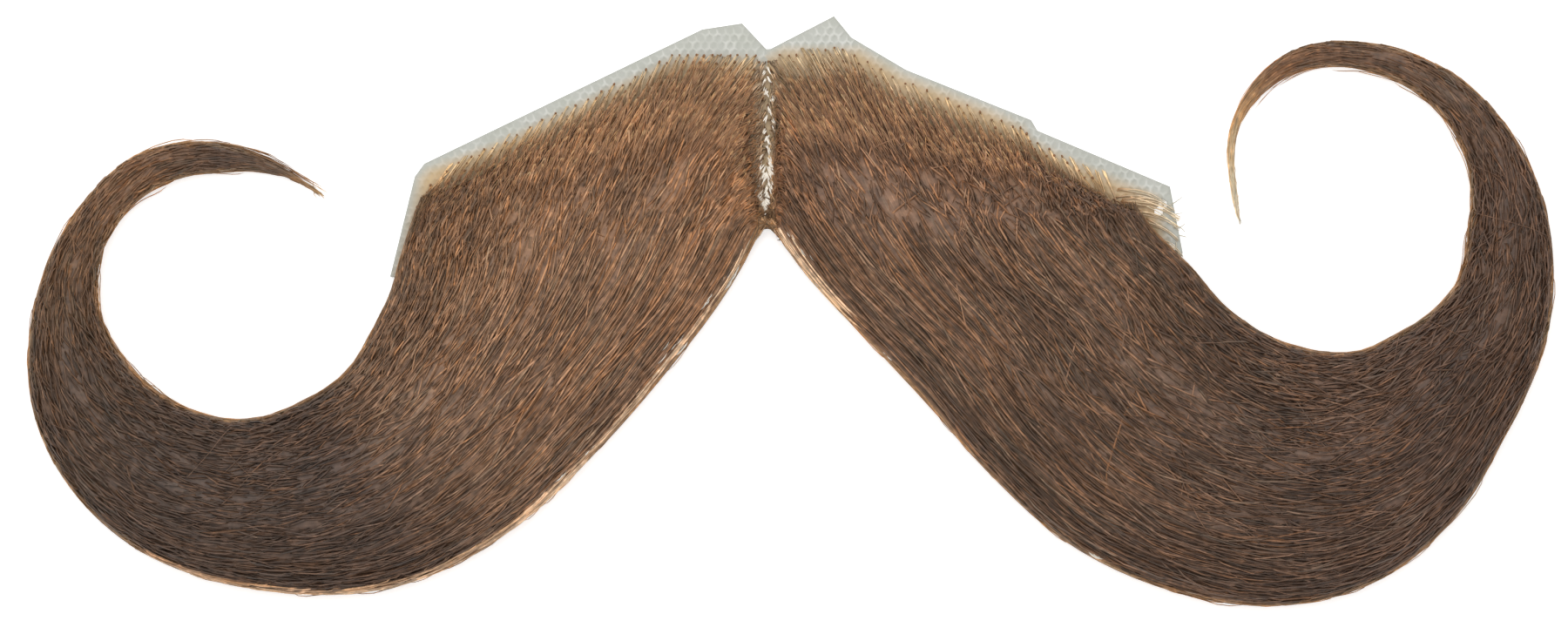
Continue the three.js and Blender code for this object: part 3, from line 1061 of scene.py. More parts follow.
@dataclass(frozen=True)
class Wing:
    """One wing of hair: a surface over (along, around) and the layers that lie on it.

    along runs from 0 at the hairline to 1 at the tip. around runs from 0 at the edge inside the
    curl, over the top, to 1 at the outer edge, and past both ends onto the underside. across is
    the share of the breadth there. The fields without a default differ from wing to wing: the
    curl's size and place, where the hair meets the corner of the lace, how the hair is swept off
    its roots and bent, and how lively its tones are.
    """

    side: Side
    lace: Lace
    sections: tuple[Section, ...]
    curl_radius: float
    curl_stand_off: float
    curl_drop: float
    belly_width: float
    corner_inset: float
    corner_share: float
    hairline_end: int
    hairline_margin: float
    corner_clear: float
    corner_lean: float
    band_count: int
    tones: tuple[tuple[float, Colour], ...]
    sweep: float
    sweep_share: float
    sweep_span: Span
    outward: float
    tuck: float
    band_span: Span
    corner_trim: float
    unrest: float
    sparkle: float
    settle: float
    border_shade: float
    wisp_escape: Span
    seed: int
    hair_depth: float = 8.0
    bare_lace: float = 2.6
    parting_width: float = 1.4
    root_share: float = 0.14
    root_curve: float = 0.5
    edge_share: float = 0.3
    dome_power: float = 2.4
    underside_power: float = 4.0
    hairline_top: float = 0.45
    hairline_dome: float = 0.5
    hair_floor: float = 0.42
    outward_at: Span = (0.158, 0.03)
    edge_inset: float = 0.25
    tuck_share: float = 0.21
    point_share: float = 0.13
    point_power: float = 0.6
    backlit_breadth: float = 0.5
    mottle: float = 0.2
    corner_shade: float = 2.5
    corner_reach: Span = (0.2, 0.4)
    parting_light: float = 0.4
    parting_reach: Span = (0.25, 0.2)
    border_at: Span = (0.93, 0.03)
    trim_reach: float = 0.07
    root_clear: float = 0.03
    core_floor: float = 0.3
    lively_at: Span = (0.26, 0.16)
    calm: float = 0.85
    glint_hairs: int = 10
    knot_height: float = 0.52
    least_sine: float = 0.35
    corner_slide: float = 0.8
    hair_breadth: float = 34.0
    knot_reach: float = 2.2
    knot_sink: float = 8.0

    @property
    def centre(self) -> Array:
        """The centre of the curl."""
        out = self.lace.half(self.side) + self.curl_stand_off
        return np.array([self.side.value * out, -self.curl_drop])

    @property
    def foot(self) -> Array:
        """The foot of the parting on this side."""
        return np.array([self.side.value * self.parting_width / 2, self.lace.foot * self.lace.drop])

    @property
    def first_turn(self) -> float:
        """The angle of the fan's first section, which passes through the foot of the parting."""
        to_foot = self.foot - self.centre
        return float(np.degrees(np.arctan2(-to_foot[1], -self.side.value * to_foot[0])))

    def _column(self, name: str, turn: Array) -> Array:
        """A column of the table of sections at any turn, on a smooth curve through its rows.

        The curve is a cubic Hermite whose slope at a row is that between its two neighbours.

        Args:
            name: The column's name.
            turn: Angles on the fan.

        Returns:
            The column's value at each angle.
        """
        turns = np.array([row.turn for row in self.sections], float)
        turns[0] = self.first_turn
        values = np.array([getattr(row, name) for row in self.sections], float)
        rows = np.arange(len(turns))
        before, after = np.maximum(rows - 1, 0), np.minimum(rows + 1, rows[-1])
        slopes = (values[after] - values[before]) / (turns[after] - turns[before])
        k = np.clip(np.searchsorted(turns, turn, side="right") - 1, 0, len(turns) - 2)
        span = turns[k + 1] - turns[k]
        t = np.clip((turn - turns[k]) / span, 0, 1)
        t2, t3 = t * t, t * t * t
        return (
            (2 * t3 - 3 * t2 + 1) * values[k]
            + (t3 - 2 * t2 + t) * span * slopes[k]
            + (3 * t2 - 2 * t3) * values[k + 1]
            + (t3 - t2) * span * slopes[k + 1]
        )

    def breadth(self, turn: Array) -> Array:
        """The wing's breadth on a ray.

        Args:
            turn: The ray's angle.

        Returns:
            Millimetres.
        """
        root_width = lengths(self.foot - self.centre) - self.sections[0].inner * self.curl_radius
        return self._column("root", turn) * root_width + self._column("belly", turn) * self.belly_width

    def turn(self, along: Array) -> Array:
        """The ray's angle at a share of the wing's length."""
        share = (along - self.root_share) / (1 - self.root_share)
        return self.first_turn + share * (self.sections[-1].turn - self.first_turn)

    def _on_fan(self, turn: Array, across: Array) -> Array:
        """A point at a share of the breadth on a ray.

        Args:
            turn: The ray's angle.
            across: Share of the breadth.

        Returns:
            Points as x and y.
        """
        radius = self._column("inner", turn) * self.curl_radius + across * self.breadth(turn)
        angle = np.radians(turn)
        x = self.centre[0] - self.side.value * radius * np.cos(angle)
        return np.stack([x, self.centre[1] - radius * np.sin(angle)], -1)

    def _on_hairline(self, across: Array) -> Array:
        """A point of the hairline, from the outer corner along the top and down the parting.

        Args:
            across: Share of the breadth.

        Returns:
            Points as x and y.
        """
        top = self.lace.corners(self.lace.edge(self.side)[: self.hairline_end + 1], self.side)
        top[-1, 0] -= self.side.value * self.corner_inset * self.lace.half(self.side)
        top[0] = [self.side.value * self.parting_width / 2, self.lace.notch * self.lace.rise]
        top[:, 1] -= self.bare_lace
        out = self.side.value * top[:, 0]
        x = out[-1] + (out[0] - out[-1]) * np.clip(across / self.corner_share, 0, 1)
        y = np.interp(x, out, top[:, 1])
        down = climb(across, self.corner_share, 1 - self.corner_share)[..., None]
        return np.stack([self.side.value * x, y], -1) * (1 - down) + down * np.where(down > 0, self.foot, 0.0)

    def place(self, along: Array, across: Array) -> Array:
        """Where a hair lies, seen from above.

        Past root_share it is on a ray. Before that it is on a quadratic Bezier curve
        (1-t)^2 H + 2t(1-t) M + t^2 F from the hairline H to the first ray F. The edge by the
        corner of the lace is tucked in, and the tip closes to a point.

        Args:
            along: Share of the wing's length, a little below 0 for roots above the hairline.
            across: Share of its breadth.

        Returns:
            Points as x and y.
        """
        bump = np.sin(np.pi * np.clip(along / self.tuck_share, 0, 1))
        across = across + self.tuck / self.hair_breadth * bump * np.clip(1 - across, 0, 1) ** 3
        point = np.clip((1.001 - along) / self.point_share, 0, 1) ** self.point_power
        across = 0.5 + (across - 0.5) * point
        fan = self._on_fan(self.turn(np.maximum(along, self.root_share)), across)
        first = np.full_like(across, self.first_turn)
        start, end = self._on_hairline(across), self._on_fan(first, across)
        step = self._on_fan(first + 2.0, across) - end
        step /= np.linalg.norm(step, axis=-1, keepdims=True)
        pull = np.linalg.norm(end - start, axis=-1, keepdims=True) * self.root_curve
        middle = end - step * pull
        t = (np.minimum(along, self.root_share) / self.root_share)[..., None]
        root = (1 - t) ** 2 * start + 2 * t * (1 - t) * middle + t**2 * end
        return np.where((along >= self.root_share)[..., None], fan, root)

    def heights(self, along: Array, across: Array) -> tuple[Array, Array]:
        """The top and the underside of the hair.

        With s the distance from the middle, from 0 to 1, the top is edge + (crown - edge) *
        sqrt(1 - s^p) and the underside is edge * s^4. Both rise from the lace over the roots.

        Args:
            along: Share of the wing's length.
            across: Share of its breadth.

        Returns:
            The two heights.
        """
        s = np.abs(2 * np.clip(across, 0, 1) - 1)
        dome = np.sqrt(1 - s**self.dome_power)
        crown = self._crown(along) * self.hair_depth
        edge = crown * self.edge_share
        ramp = np.sin(np.clip(along / self.root_share, 0, 1) * np.pi / 2)
        start = self.hairline_top + self.hairline_dome * dome
        top = start + (edge + (crown - edge) * dome - start) * ramp
        bottom = edge * s**self.underside_power * ramp
        lowest = np.minimum(self.hair_floor, 0.4 * crown)
        return top, np.minimum(np.maximum(bottom, lowest), top)

    def surface(self, along: Array, around: Array) -> Array:
        """A point of the skin of the wing.

        Args:
            along: Share of the wing's length.
            around: Place round the section.

        Returns:
            Points as x, y and z.
        """
        across = across_of(around)
        top, bottom = self.heights(along, across)
        height = np.where((around < 0) | (around > 1), bottom, top)
        return np.concatenate([self.place(along, across), height[..., None]], -1)

    def lift(self, along: Array, around: Array, height: Array) -> Array:
        """A point at a height above the skin, square to it.

        Args:
            along: Share of the wing's length.
            around: Place round the section.
            height: Distance out of the skin.

        Returns:
            Points as x, y and z.
        """
        low, high = np.clip(along - 0.003, -0.05, 1), np.clip(along + 0.003, -0.05, 1)
        flow = self.surface(high, around) - self.surface(low, around)
        girth = self.surface(along, around + 0.02) - self.surface(along, around - 0.02)
        normal = np.cross(flow, girth) * -self.side.value
        normal /= np.linalg.norm(normal, axis=-1, keepdims=True) + 1e-9
        return self.surface(along, around) + normal * height[..., None]

    def core(self) -> Shell:
        """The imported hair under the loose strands: the wing's skin, sunk and finely grooved.

        Returns:
            A closed shell over a grid of along by around, with its two ends closed by a face.
        """
        rng = np.random.default_rng(self.seed)
        rows, ring = 140, 80
        around = np.linspace(-1, 1, ring, endpoint=False)[None, :] + np.zeros((rows, 1))
        fray = smooth_noise(rng, (1, 60), (np.zeros((1, ring)), (around[:1] + 1) / 2))
        along = np.linspace(0, 1, rows)[:, None]
        start = 0.027 + 0.008 * fray + self._trim(around)
        along = start + (0.99 - start) * along
        at = along, (around + 1) / 2
        fine, coarse = smooth_noise(rng, (16, 90), at), smooth_noise(rng, (7, 34), at)
        thin = np.minimum(1.0, self._crown(along) / 0.7)
        edges = np.abs(2 * np.abs(around) - 1) ** 6
        sunk = (-0.42 + 0.1 * fine + 0.12 * coarse - 0.1 * edges) * thin**1.6
        points = self.lift(along, around, sunk)
        points[..., 2] = np.maximum(points[..., 2], self.core_floor)
        index = np.arange(rows * ring).reshape(rows, ring)
        a, b = index[:-1], index[1:]
        c, d = np.roll(b, -1, axis=1), np.roll(a, -1, axis=1)
        quads = np.stack([a, d, c, b], -1).reshape(-1, 4)
        ends = [index[:1, ::-1], index[-1:]]
        u, v = np.meshgrid(np.arange(rows - 1), np.arange(ring), indexing="ij")
        cell = np.array([[0, 0], [0, 1], [1, 1], [1, 0]])
        if self.side is Side.RIGHT:
            quads, ends, cell = quads[:, ::-1], [end[:, ::-1] for end in ends], cell[::-1]
        maps = [(np.stack([u, v], -1).reshape(-1, 1, 2) + cell) / [rows, ring]]
        maps += [np.zeros((ring, 2)) for _ in ends]
        # The packed hair's shade sits below the strands': partly its own tone, partly painted shade of the
        # depths under the strands.
        shade = 0.42 + 0.1 * fine + 0.12 * self._mottle(along, around, 0)
        cast = 0.5 + 0.2 * coarse + 0.2 * self._mottle(along, around, 1)
        # rim: where painted light shining through the thin edge hair is mixed in.
        numbers = {"along": along, "shade": shade, "cast": cast, "rim": self._backlit_edge(along, around)}
        return Shell(points.reshape(-1, 3), [quads, *ends], maps, numbers)

    def _mottle(self, along: Array, around: Array, sheet: int) -> Array:
        """Slow drifts of tone over the wing, which all its layers share.

        Args:
            along: Share of the wing's length.
            around: Place round the section.
            sheet: Which of the independent sheets of noise.

        Returns:
            Noise from about -1 to 1, part of it in broad patches and part in short streaks. The
            first sheet is darker towards the corner of the lace and along the border below the
            parting, and lighter beside the parting.
        """
        rng = np.random.default_rng(self.seed + 77 + sheet)
        at = np.broadcast_to(along, around.shape), (around + 1) / 3
        noise = 0.4 * smooth_noise(rng, (24, 20), at) + 0.75 * smooth_noise(rng, (75, 190), at)
        if sheet == 0:
            across = across_of(np.clip(around, 0, 1))
            (corner, roots), (parting, start) = self.corner_reach, self.parting_reach
            near_roots = (1 - climb(along, 0, roots)) * climb(along, 0, self.root_clear)
            noise = noise - self.corner_shade * bell(across, 0, corner) * near_roots
            noise = noise + self.parting_light * bell(across, 1, parting) * (1 - climb(along, 0, start))
            noise = noise - self.border_shade * bell(across, *self.border_at) * climb(along, 0, 0.1)
        return noise

    def _backlit_edge(self, along: Array, around: Array) -> Array:
        """How near each place is to the wing's edge, where painted light shining through the thin hair goes.

        Args:
            along: Share of the wing's length.
            around: Place round the section.

        Returns:
            1 on the edge, and 0 from backlit_breadth inwards and where the wing is very narrow.
        """
        across = across_of(np.clip(around, 0, 1))
        width = self._width(along)
        inwards = width * np.minimum(across, 1 - across)
        return np.clip(1 - inwards / self.backlit_breadth, 0, 1) * np.clip(width / 2 - 0.5, 0, 1)

    def _crown(self, along: Array) -> Array:
        """The height of the crown at a share of the length, as a share of the hair's depth."""
        return self._column("crown", np.maximum(self.turn(along), self.first_turn))

    def _width(self, along: Array) -> Array:
        """The wing's breadth at a share of its length."""
        return self.breadth(np.maximum(self.turn(along), self.first_turn))

    def _speed(self, along: Array, around: Array) -> Array:
        """Millimetres along the hair for a whole unit of along.

        Args:
            along: Share of the wing's length.
            around: Place round the section.

        Returns:
            The speed, which is kept above 20 so that a strand stays on the wing.
        """
        step = self.surface(np.minimum(along + 0.01, 1), around) - self.surface(along, around)
        return lengths(step) / 0.01 + 20.0

    def _starts(self, rng: np.random.Generator, count: int, span: Span) -> Array:
        """Places along the wing, as many to each square millimetre wherever they are.

        Args:
            rng: Where the random numbers come from.
            count: How many places.
            span: The stretch of the wing that they lie on.

        Returns:
            Shares of the wing's length.
        """
        along = np.linspace(*span, 200)
        share = np.cumsum((self._width(along) + 3.0) * self._speed(along, np.full(200, 0.5)))
        return np.interp(rng.uniform(0, share[-1], count), share, along)

    def _slant(self, across: Array) -> Array:
        """How much the hair is swept, which is least at the corner of the lace.

        Args:
            across: Share of the breadth.

        Returns:
            The shift at the roots, as a share of the breadth.
        """
        low, high = self.sweep_span
        return self.sweep * np.clip((across - low) / (high - low), -0.15, 1)

    def _swept(self, along: Array, around: Array) -> Array:
        """Places round the section, shifted near the roots so that hair leaves them on a slant.

        Across the breadth the shift is slant * (1 - along / sweep_share)^2.

        Args:
            along: Share of the wing's length.
            around: Place round the section.

        Returns:
            The shifted places round the section.
        """
        across = across_of(np.clip(around, 0, 1))
        near_root = np.clip(1 - along / self.sweep_share, 0, 1) ** 2
        moved = np.clip(across + self._slant(across) * near_root, 0, 1)
        return np.where((around > 0) & (around < 1), around_of(moved), around)

    def _trim(self, around: Array) -> Array:
        """How much further along the hair starts by the corner of the lace."""
        return self.corner_trim * bell(across_of(np.clip(around, 0, 1)), 0, self.trim_reach)

    def _parting_start(self, around: Array) -> Array:
        """How far along a swept strand comes out from under the parting's edge.

        Args:
            around: Place round the section.

        Returns:
            Shares of the wing's length.
        """
        across = across_of(np.clip(around, 0, 1))
        room = np.clip((0.985 - across) / np.maximum(self._slant(across), 0.001), 0, 1)
        return np.where((around > 0) & (around < 1), self.sweep_share * (1 - np.sqrt(room)), 0.0)

    def strands(self, layer: Strands, seed: int) -> Shell:
        """A layer of strands that follow the hair and weave in and out of the skin.

        A strand keeps its place round the section but for a sweep off its root, a drift and a slow
        wave. It starts no nearer the root than the trim at the lace's corner and the parting's
        edge let it. Its height is its depth plus a wave, less a dip at both ends and an inset at
        the wing's edges, plus its escape times t^3.

        Args:
            layer: How the layer lies.
            seed: Seed of its random numbers.

        Returns:
            The strands as tubes.
        """
        rng = np.random.default_rng(self.seed + seed)
        n = layer.count
        t = np.linspace(0, 1, layer.rings)[None, :]
        centre = self._starts(rng, n, layer.span)
        around0 = rng.uniform(*layer.reach, n)
        length = rng.uniform(*layer.length, n)
        half = length / self._speed(np.clip(centre, 0, 0.98), around0) / 2
        first = np.maximum(centre - half, rng.uniform(0.008, 0.045, n) + self._trim(around0))
        first = np.maximum(first, self._parting_start(around0) + rng.uniform(0, 0.02, n))
        last = np.minimum(np.maximum(centre + half, first + 0.03), rng.uniform(0.975, 1.0, n))
        along = first[:, None] + (last - first)[:, None] * t
        width = self._width(along)
        freedom = np.minimum(1.0, width / 9.0)
        over = np.clip(around0, 0, 1)
        inner = 1 - np.abs(2 * over - 1) ** 3
        settled = self.settle * climb(centre, 0.2, 0.08) * (0.4 + 1.2 * over)
        bent = self.outward * bell(centre, *self.outward_at) + settled
        turned = rng.normal(0, layer.stray * self.unrest, n) + inner * bent
        drift = np.tan(np.radians(turned))[:, None] * length[:, None] * (t - 0.5)
        phase = rng.uniform(0, 2 * np.pi, (4, n, 1))
        waves = rng.uniform(0.5, 1.3, (2, n, 1)) * length[:, None] / 16
        slow, quick = 2 * np.pi * waves[0] * t, 4 * np.pi * waves[1] * t
        wander = layer.wander * (np.sin(slow + phase[0]) + 0.3 * np.sin(2.55 * slow + phase[1]))
        around = self._swept(along, around0[:, None]) + (drift + wander) * freedom / (1.57 * width + 0.5)
        weave = layer.weave * (0.7 * np.sin(quick + phase[2]) + 0.3 * np.sin(2.25 * quick + phase[3]))
        ends = layer.dip * (bell(t, 0, 0.08) + bell(t, 1, 0.08))
        depth = column(rng, layer.depth, n)
        crown = self._crown(along)
        height = (depth + weave - ends) * np.minimum(1.0, crown * 1.6)
        height += column(rng, layer.escape, n) * t**3
        edges = np.abs(2 * np.clip(around, 0, 1) - 1) ** 6
        height -= self.edge_inset * np.minimum(1, width / 6) ** 2 * edges
        points = self.lift(along, around, height)
        radius = column(rng, layer.radius, n) * (0.35 + 0.65 * np.minimum(1.0, crown * 2.2))
        radii = radius * (0.25 + 0.75 * climb(np.minimum(t, 1 - t), 0, 0.12) ** 0.5)
        points[..., 2] = np.maximum(points[..., 2], radii + 0.02)
        mean, spread = layer.shade
        lively = self.sparkle - (self.sparkle - self.calm) * climb(along, *self.lively_at)
        drifts = self.mottle * self._mottle(along, around, 0)
        shade = mean + lively * (rng.normal(0, spread, (n, 1)) + drifts)
        # The second sheet of mottle lays ashy patches that partly paint the hair's grey sheen.
        cast = column(rng, layer.cast, n) + 0.22 * self._mottle(along, around, 1)
        numbers = {"along": along, "shade": np.clip(shade, 0, 1), "cast": np.clip(cast, 0, 1)}
        # rim: where painted light shining through the thin edge hair is mixed in.
        numbers["rim"] = self._backlit_edge(along, around)
        return tubes(points, radii, rng.uniform(0, SMALL_ROLL, n), numbers)

    def locate(self, points: Array, span: Span, near: float) -> tuple[Array, Array, Array]:
        """Where points lie on the wing, by the nearest point of a fine grid.

        Args:
            points: Places as x and y.
            span: The stretch of the wing to look on.
            near: The distance beyond which a point isn't on the stretch.

        Returns:
            True for each point found, and the found points' along and across.
        """
        along, across = np.meshgrid(np.linspace(*span, 40), np.linspace(0, 1, 240), indexing="ij")
        grid = self.place(along, across).reshape(-1, 2)
        found_along, found_across, gap = [], [], []
        for group in np.array_split(points, max(1, len(points) // 200)):
            distance = lengths(group[:, None, :] - grid[None])
            best = distance.argmin(1)
            gap.append(distance[np.arange(len(group)), best])
            found_along.append(along.ravel()[best])
            found_across.append(across.ravel()[best])
        found = np.concatenate(gap) < near
        return found, np.concatenate(found_along)[found], np.concatenate(found_across)[found]

    def _rooted(self) -> tuple[Array, Array, Array]:
        """The knots that hold this wing's hair.

        A knot takes the along and across of the nearest place on the hair. Above the hairline it
        moves to the place that the flow leads it to: offset = a * edge + b * flow is solved for a,
        unless edge and flow are nearly in line or a is large. Then it slides towards the corner by
        corner_slide * gap / hair_breadth. Beyond the hair's edge at the corner of the lace it is
        left out, unless its across is over corner_clear or its lean over corner_lean.

        Returns:
            The knots, with the along and across of each.
        """
        nodes = self.lace.knots()
        own = nodes[nodes[:, 0] * self.side.value > 0.0]
        found, along, across = self.locate(own, (0.0, 0.05), self.hairline_margin)
        own, beyond, step, most = own[found], along < 0.002, 0.004, 25
        here = self.place(along, across)
        offset = own - here
        swept = 2 * self._slant(across) * step / self.sweep_share
        flow = self.place(along + step, across - swept) - here
        edge = self.place(along, across + step) - here
        gap, flow_length, edge_length = (lengths(a) for a in (offset, flow, edge))
        area = edge[:, 0] * flow[:, 1] - edge[:, 1] * flow[:, 0]
        share = (offset[:, 0] * flow[:, 1] - offset[:, 1] * flow[:, 0]) / area
        apart = np.abs(area) > self.least_sine * edge_length * flow_length
        solved = beyond & apart & (np.abs(share) < most)
        lean = (offset * edge).sum(1) / (gap * edge_length)
        held = (gap < 0.4) | (beyond & ((across > self.corner_clear) | (lean > self.corner_lean)))
        aside = np.where(beyond, -self.corner_slide * gap / self.hair_breadth, 0.0)
        across = np.clip(across + np.where(solved, share * step, aside), 0.002, 0.998)
        return own[held], along[held], across[held]

    def tufts(self, seed: int) -> Shell:
        """Short tufts that leave the knots along the hairline and both sides of the parting.

        A hair runs from its knot onto the wing's own flow, so that its distance from the flow
        falls as (1 - t)^2.

        Args:
            seed: Seed of the random numbers.

        Returns:
            The tufts as tubes, whose along runs from 0 at the knot to 1 at the hair's end.
        """
        rng = np.random.default_rng(self.seed + seed)
        own, along0, across0 = self._rooted()
        offset = own - self.place(along0, across0)
        above = lengths(offset)
        outermost, outer_row = 0.9, 0.45
        each = np.where(above > outermost, 4, np.where(above > outer_row, 5, 6))
        each += across0 > self.corner_share
        rooted = along0[:, None], across0[:, None], above[:, None], offset
        along0, across0, above, offset = (np.repeat(a, each, axis=0) for a in rooted)
        n, rings = len(along0), 7
        t = np.linspace(0, 1, rings)[None, :]
        beside = climb(across0, self.corner_share, 0.06) * (1 - climb(along0, 0, 0.02))
        length = column(rng, (2.0, 5.0), n) * (1 - 0.3 * beside) * np.where(above > outermost, 0.5, 1.0)
        speed = self._speed(np.maximum(along0, 0.0), np.full((n, 1), 0.5))
        along = along0 + length / speed * t
        turned = rng.normal(0, 6.0, (n, 1)) - 5.0 * beside
        here, root = 1 - along / self.sweep_share, 1 - along0 / self.sweep_share
        slant = self._slant(across0) * (here**2 - root**2)
        across = across0 + slant + np.tan(np.radians(turned)) * length * t / self.hair_breadth
        across = np.clip(across + rng.normal(0, 0.003, (n, 1)), 0.003, 0.997)
        around = around_of(across)
        high = column(rng, (0.04, 0.28), n)
        height = high * np.sin(np.pi * np.minimum(t * 1.15, 1)) - 0.1 - 0.4 * np.clip(t - 0.7, 0, 1)
        points = self.lift(along, around, height)
        points[..., :2] += offset[:, None, :] * ((1 - t) ** 2)[..., None]
        points[..., 2] -= (above > 0.3) * (points[:, :1, 2] - self.knot_height) * (1 - t) ** 2
        radii = column(rng, (0.045, 0.08), n) * (1 - 0.45 * t)
        points[..., 2] = np.maximum(points[..., 2], 0.36 + radii)
        outer = climb(above, 0, 1.3) * (1 - t)
        corner = bell(across0, 0, 0.4)
        shade = rng.normal(0.52, 0.13, (n, 1)) + self.mottle * self._mottle(along, around, 0)
        shade = np.clip(shade + 0.15 * outer + 0.08 * corner * (1 - t), 0, 1)
        cast = column(rng, (0.05, 0.85), n) * (1 - 0.6 * corner)
        numbers = {"along": t, "cast": cast, "shade": shade, "rim": outer}
        return tubes(points, radii, rng.uniform(0, SMALL_ROLL, n), numbers)

    def knot_dots(self) -> Shell:
        """The knots themselves: short dark beads of hair round the net's threads.

        Returns:
            The knots as short tubes.
        """
        own, along, across = self._rooted()
        rng = np.random.default_rng(self.seed + 5)
        above = lengths(own - self.place(along, across))
        own, along, across, above = (a[above < self.knot_reach] for a in (own, along, across, above))
        flow = self.place(along + 0.004, across) - self.place(along, across)
        flow /= np.linalg.norm(flow, axis=1, keepdims=True)
        n, rings = len(own), 5
        t = np.linspace(-0.5, 0.5, rings)[None, :, None]
        ground = own[:, None, :] + flow[:, None, :] * t * rng.uniform(0.2, 0.4, (n, 1, 1))
        top = self.heights(along, across)[0] + 0.12 - self.knot_sink * along
        lift = np.where(above > 0.3, self.knot_height + 0.2, np.maximum(self.knot_height, top))
        lift = lift[:, None, None] + np.zeros((n, rings, 1))
        radii = bead(rng, (0.12, 0.17), n, t[..., 0])
        return tubes(np.concatenate([ground, lift], -1), radii, rng.uniform(0, SMALL_ROLL, n), {})

    def glints(self, marks: Rows) -> Shell:
        """Lacquered hairs in short bundles on the edge under the parting: painted highlights.

        Args:
            marks: Rows of the x and y of a bundle's middle, its length and its half width.

        Returns:
            The hairs as tubes.
        """
        rng = np.random.default_rng(self.seed + 61)
        table = np.repeat(np.array(marks), self.glint_hairs, axis=0)
        n, rings = len(table), 6
        _, along0, across0 = self.locate(table[:, :2], (0.1, 0.4), 9.0)
        length, breadth = table[:, 2:3], table[:, 3:4]
        speed = self._speed(along0, np.full(n, 0.9))[:, None]
        t = np.linspace(-0.5, 0.5, rings)[None, :]
        middle = along0[:, None] + rng.normal(0, 0.3, (n, 1)) * length / speed
        along = middle + column(rng, (0.5, 1.0), n) * length / speed * t
        aside = rng.normal(0, 1, (n, 1)) + rng.normal(0, 0.5, (n, 1)) * t
        across = np.clip(across0[:, None] + aside * breadth / self.hair_breadth, 0.01, 0.992)
        height = column(rng, (-0.16, 0.06), n) - 0.25 * (2 * t) ** 2
        points = self.lift(along, around_of(across), height)
        radii = bead(rng, (0.04, 0.085), n, t)
        return tubes(points, radii, rng.uniform(0, SMALL_ROLL, n), {})


LEFT_TONES = (
    (0.0, paint(150, 110, 76)), (0.09, paint(161, 122, 89)), (0.25, paint(143, 111, 85)),
    (0.31, paint(97, 75, 60)), (0.45, paint(90, 70, 56)), (0.55, paint(99, 76, 58)),
    (0.64, paint(112, 84, 60)), (0.76, paint(134, 99, 69)), (0.87, paint(94, 73, 58)),
    (0.935, paint(112, 88, 68)), (0.965, paint(160, 124, 86)), (1.0, paint(214, 186, 144)),
)
RIGHT_TONES = (
    (0.0, paint(146, 107, 77)), (0.09, paint(138, 103, 76)), (0.17, paint(128, 97, 73)),
    (0.25, paint(116, 88, 67)), (0.34, paint(104, 79, 62)), (0.41, paint(97, 73, 57)),
    (0.48, paint(101, 75, 57)), (0.57, paint(100, 75, 58)),
    (0.68, paint(110, 83, 62)), (0.78, paint(114, 84, 61)), (0.835, paint(138, 100, 68)),
    (0.88, paint(190, 150, 104)), (0.93, paint(216, 194, 156)), (1.0, paint(232, 222, 198)),
)


def build_wings(lace: Lace) -> list[Wing]:
    """The two wings, which differ in size, in how they curl and in tone.

    Args:
        lace: The foundation that they are knotted on.

    Returns:
        The left wing and the right.
    """
    left = Wing(
        Side.LEFT, lace, LEFT_SECTIONS, curl_radius=14.0, curl_stand_off=16.4, curl_drop=16.5,
        belly_width=25.0, corner_inset=0.018, corner_share=0.77, hairline_end=2, hairline_margin=2.0,
        corner_clear=0.04, corner_lean=1.1, band_count=300, tones=LEFT_TONES, sweep=0.062,
        sweep_share=0.22, sweep_span=(0.58, 0.75), outward=5.0, tuck=1.05, band_span=(0.142, 0.44),
        corner_trim=0.0, unrest=1.0, sparkle=1.2, settle=7.0, border_shade=0.5,
        wisp_escape=(0.2, 0.9), seed=100,
    )
    right = Wing(
        Side.RIGHT, lace, RIGHT_SECTIONS, curl_radius=15.0, curl_stand_off=17.7, curl_drop=7.5,
        belly_width=30.0, corner_inset=0.115, corner_share=0.86, hairline_end=5, hairline_margin=4.2,
        corner_clear=0.001, corner_lean=-0.1, band_count=60, tones=RIGHT_TONES, sweep=0.09,
        sweep_share=0.12, sweep_span=(0.2, 0.6), outward=16.0, tuck=0.3, band_span=(0.139, 0.146),
        corner_trim=0.075, unrest=1.45, sparkle=1.7, settle=10.0, border_shade=0.9,
        wisp_escape=(0.0, 0.25), seed=200,
    )
    return [left, right]


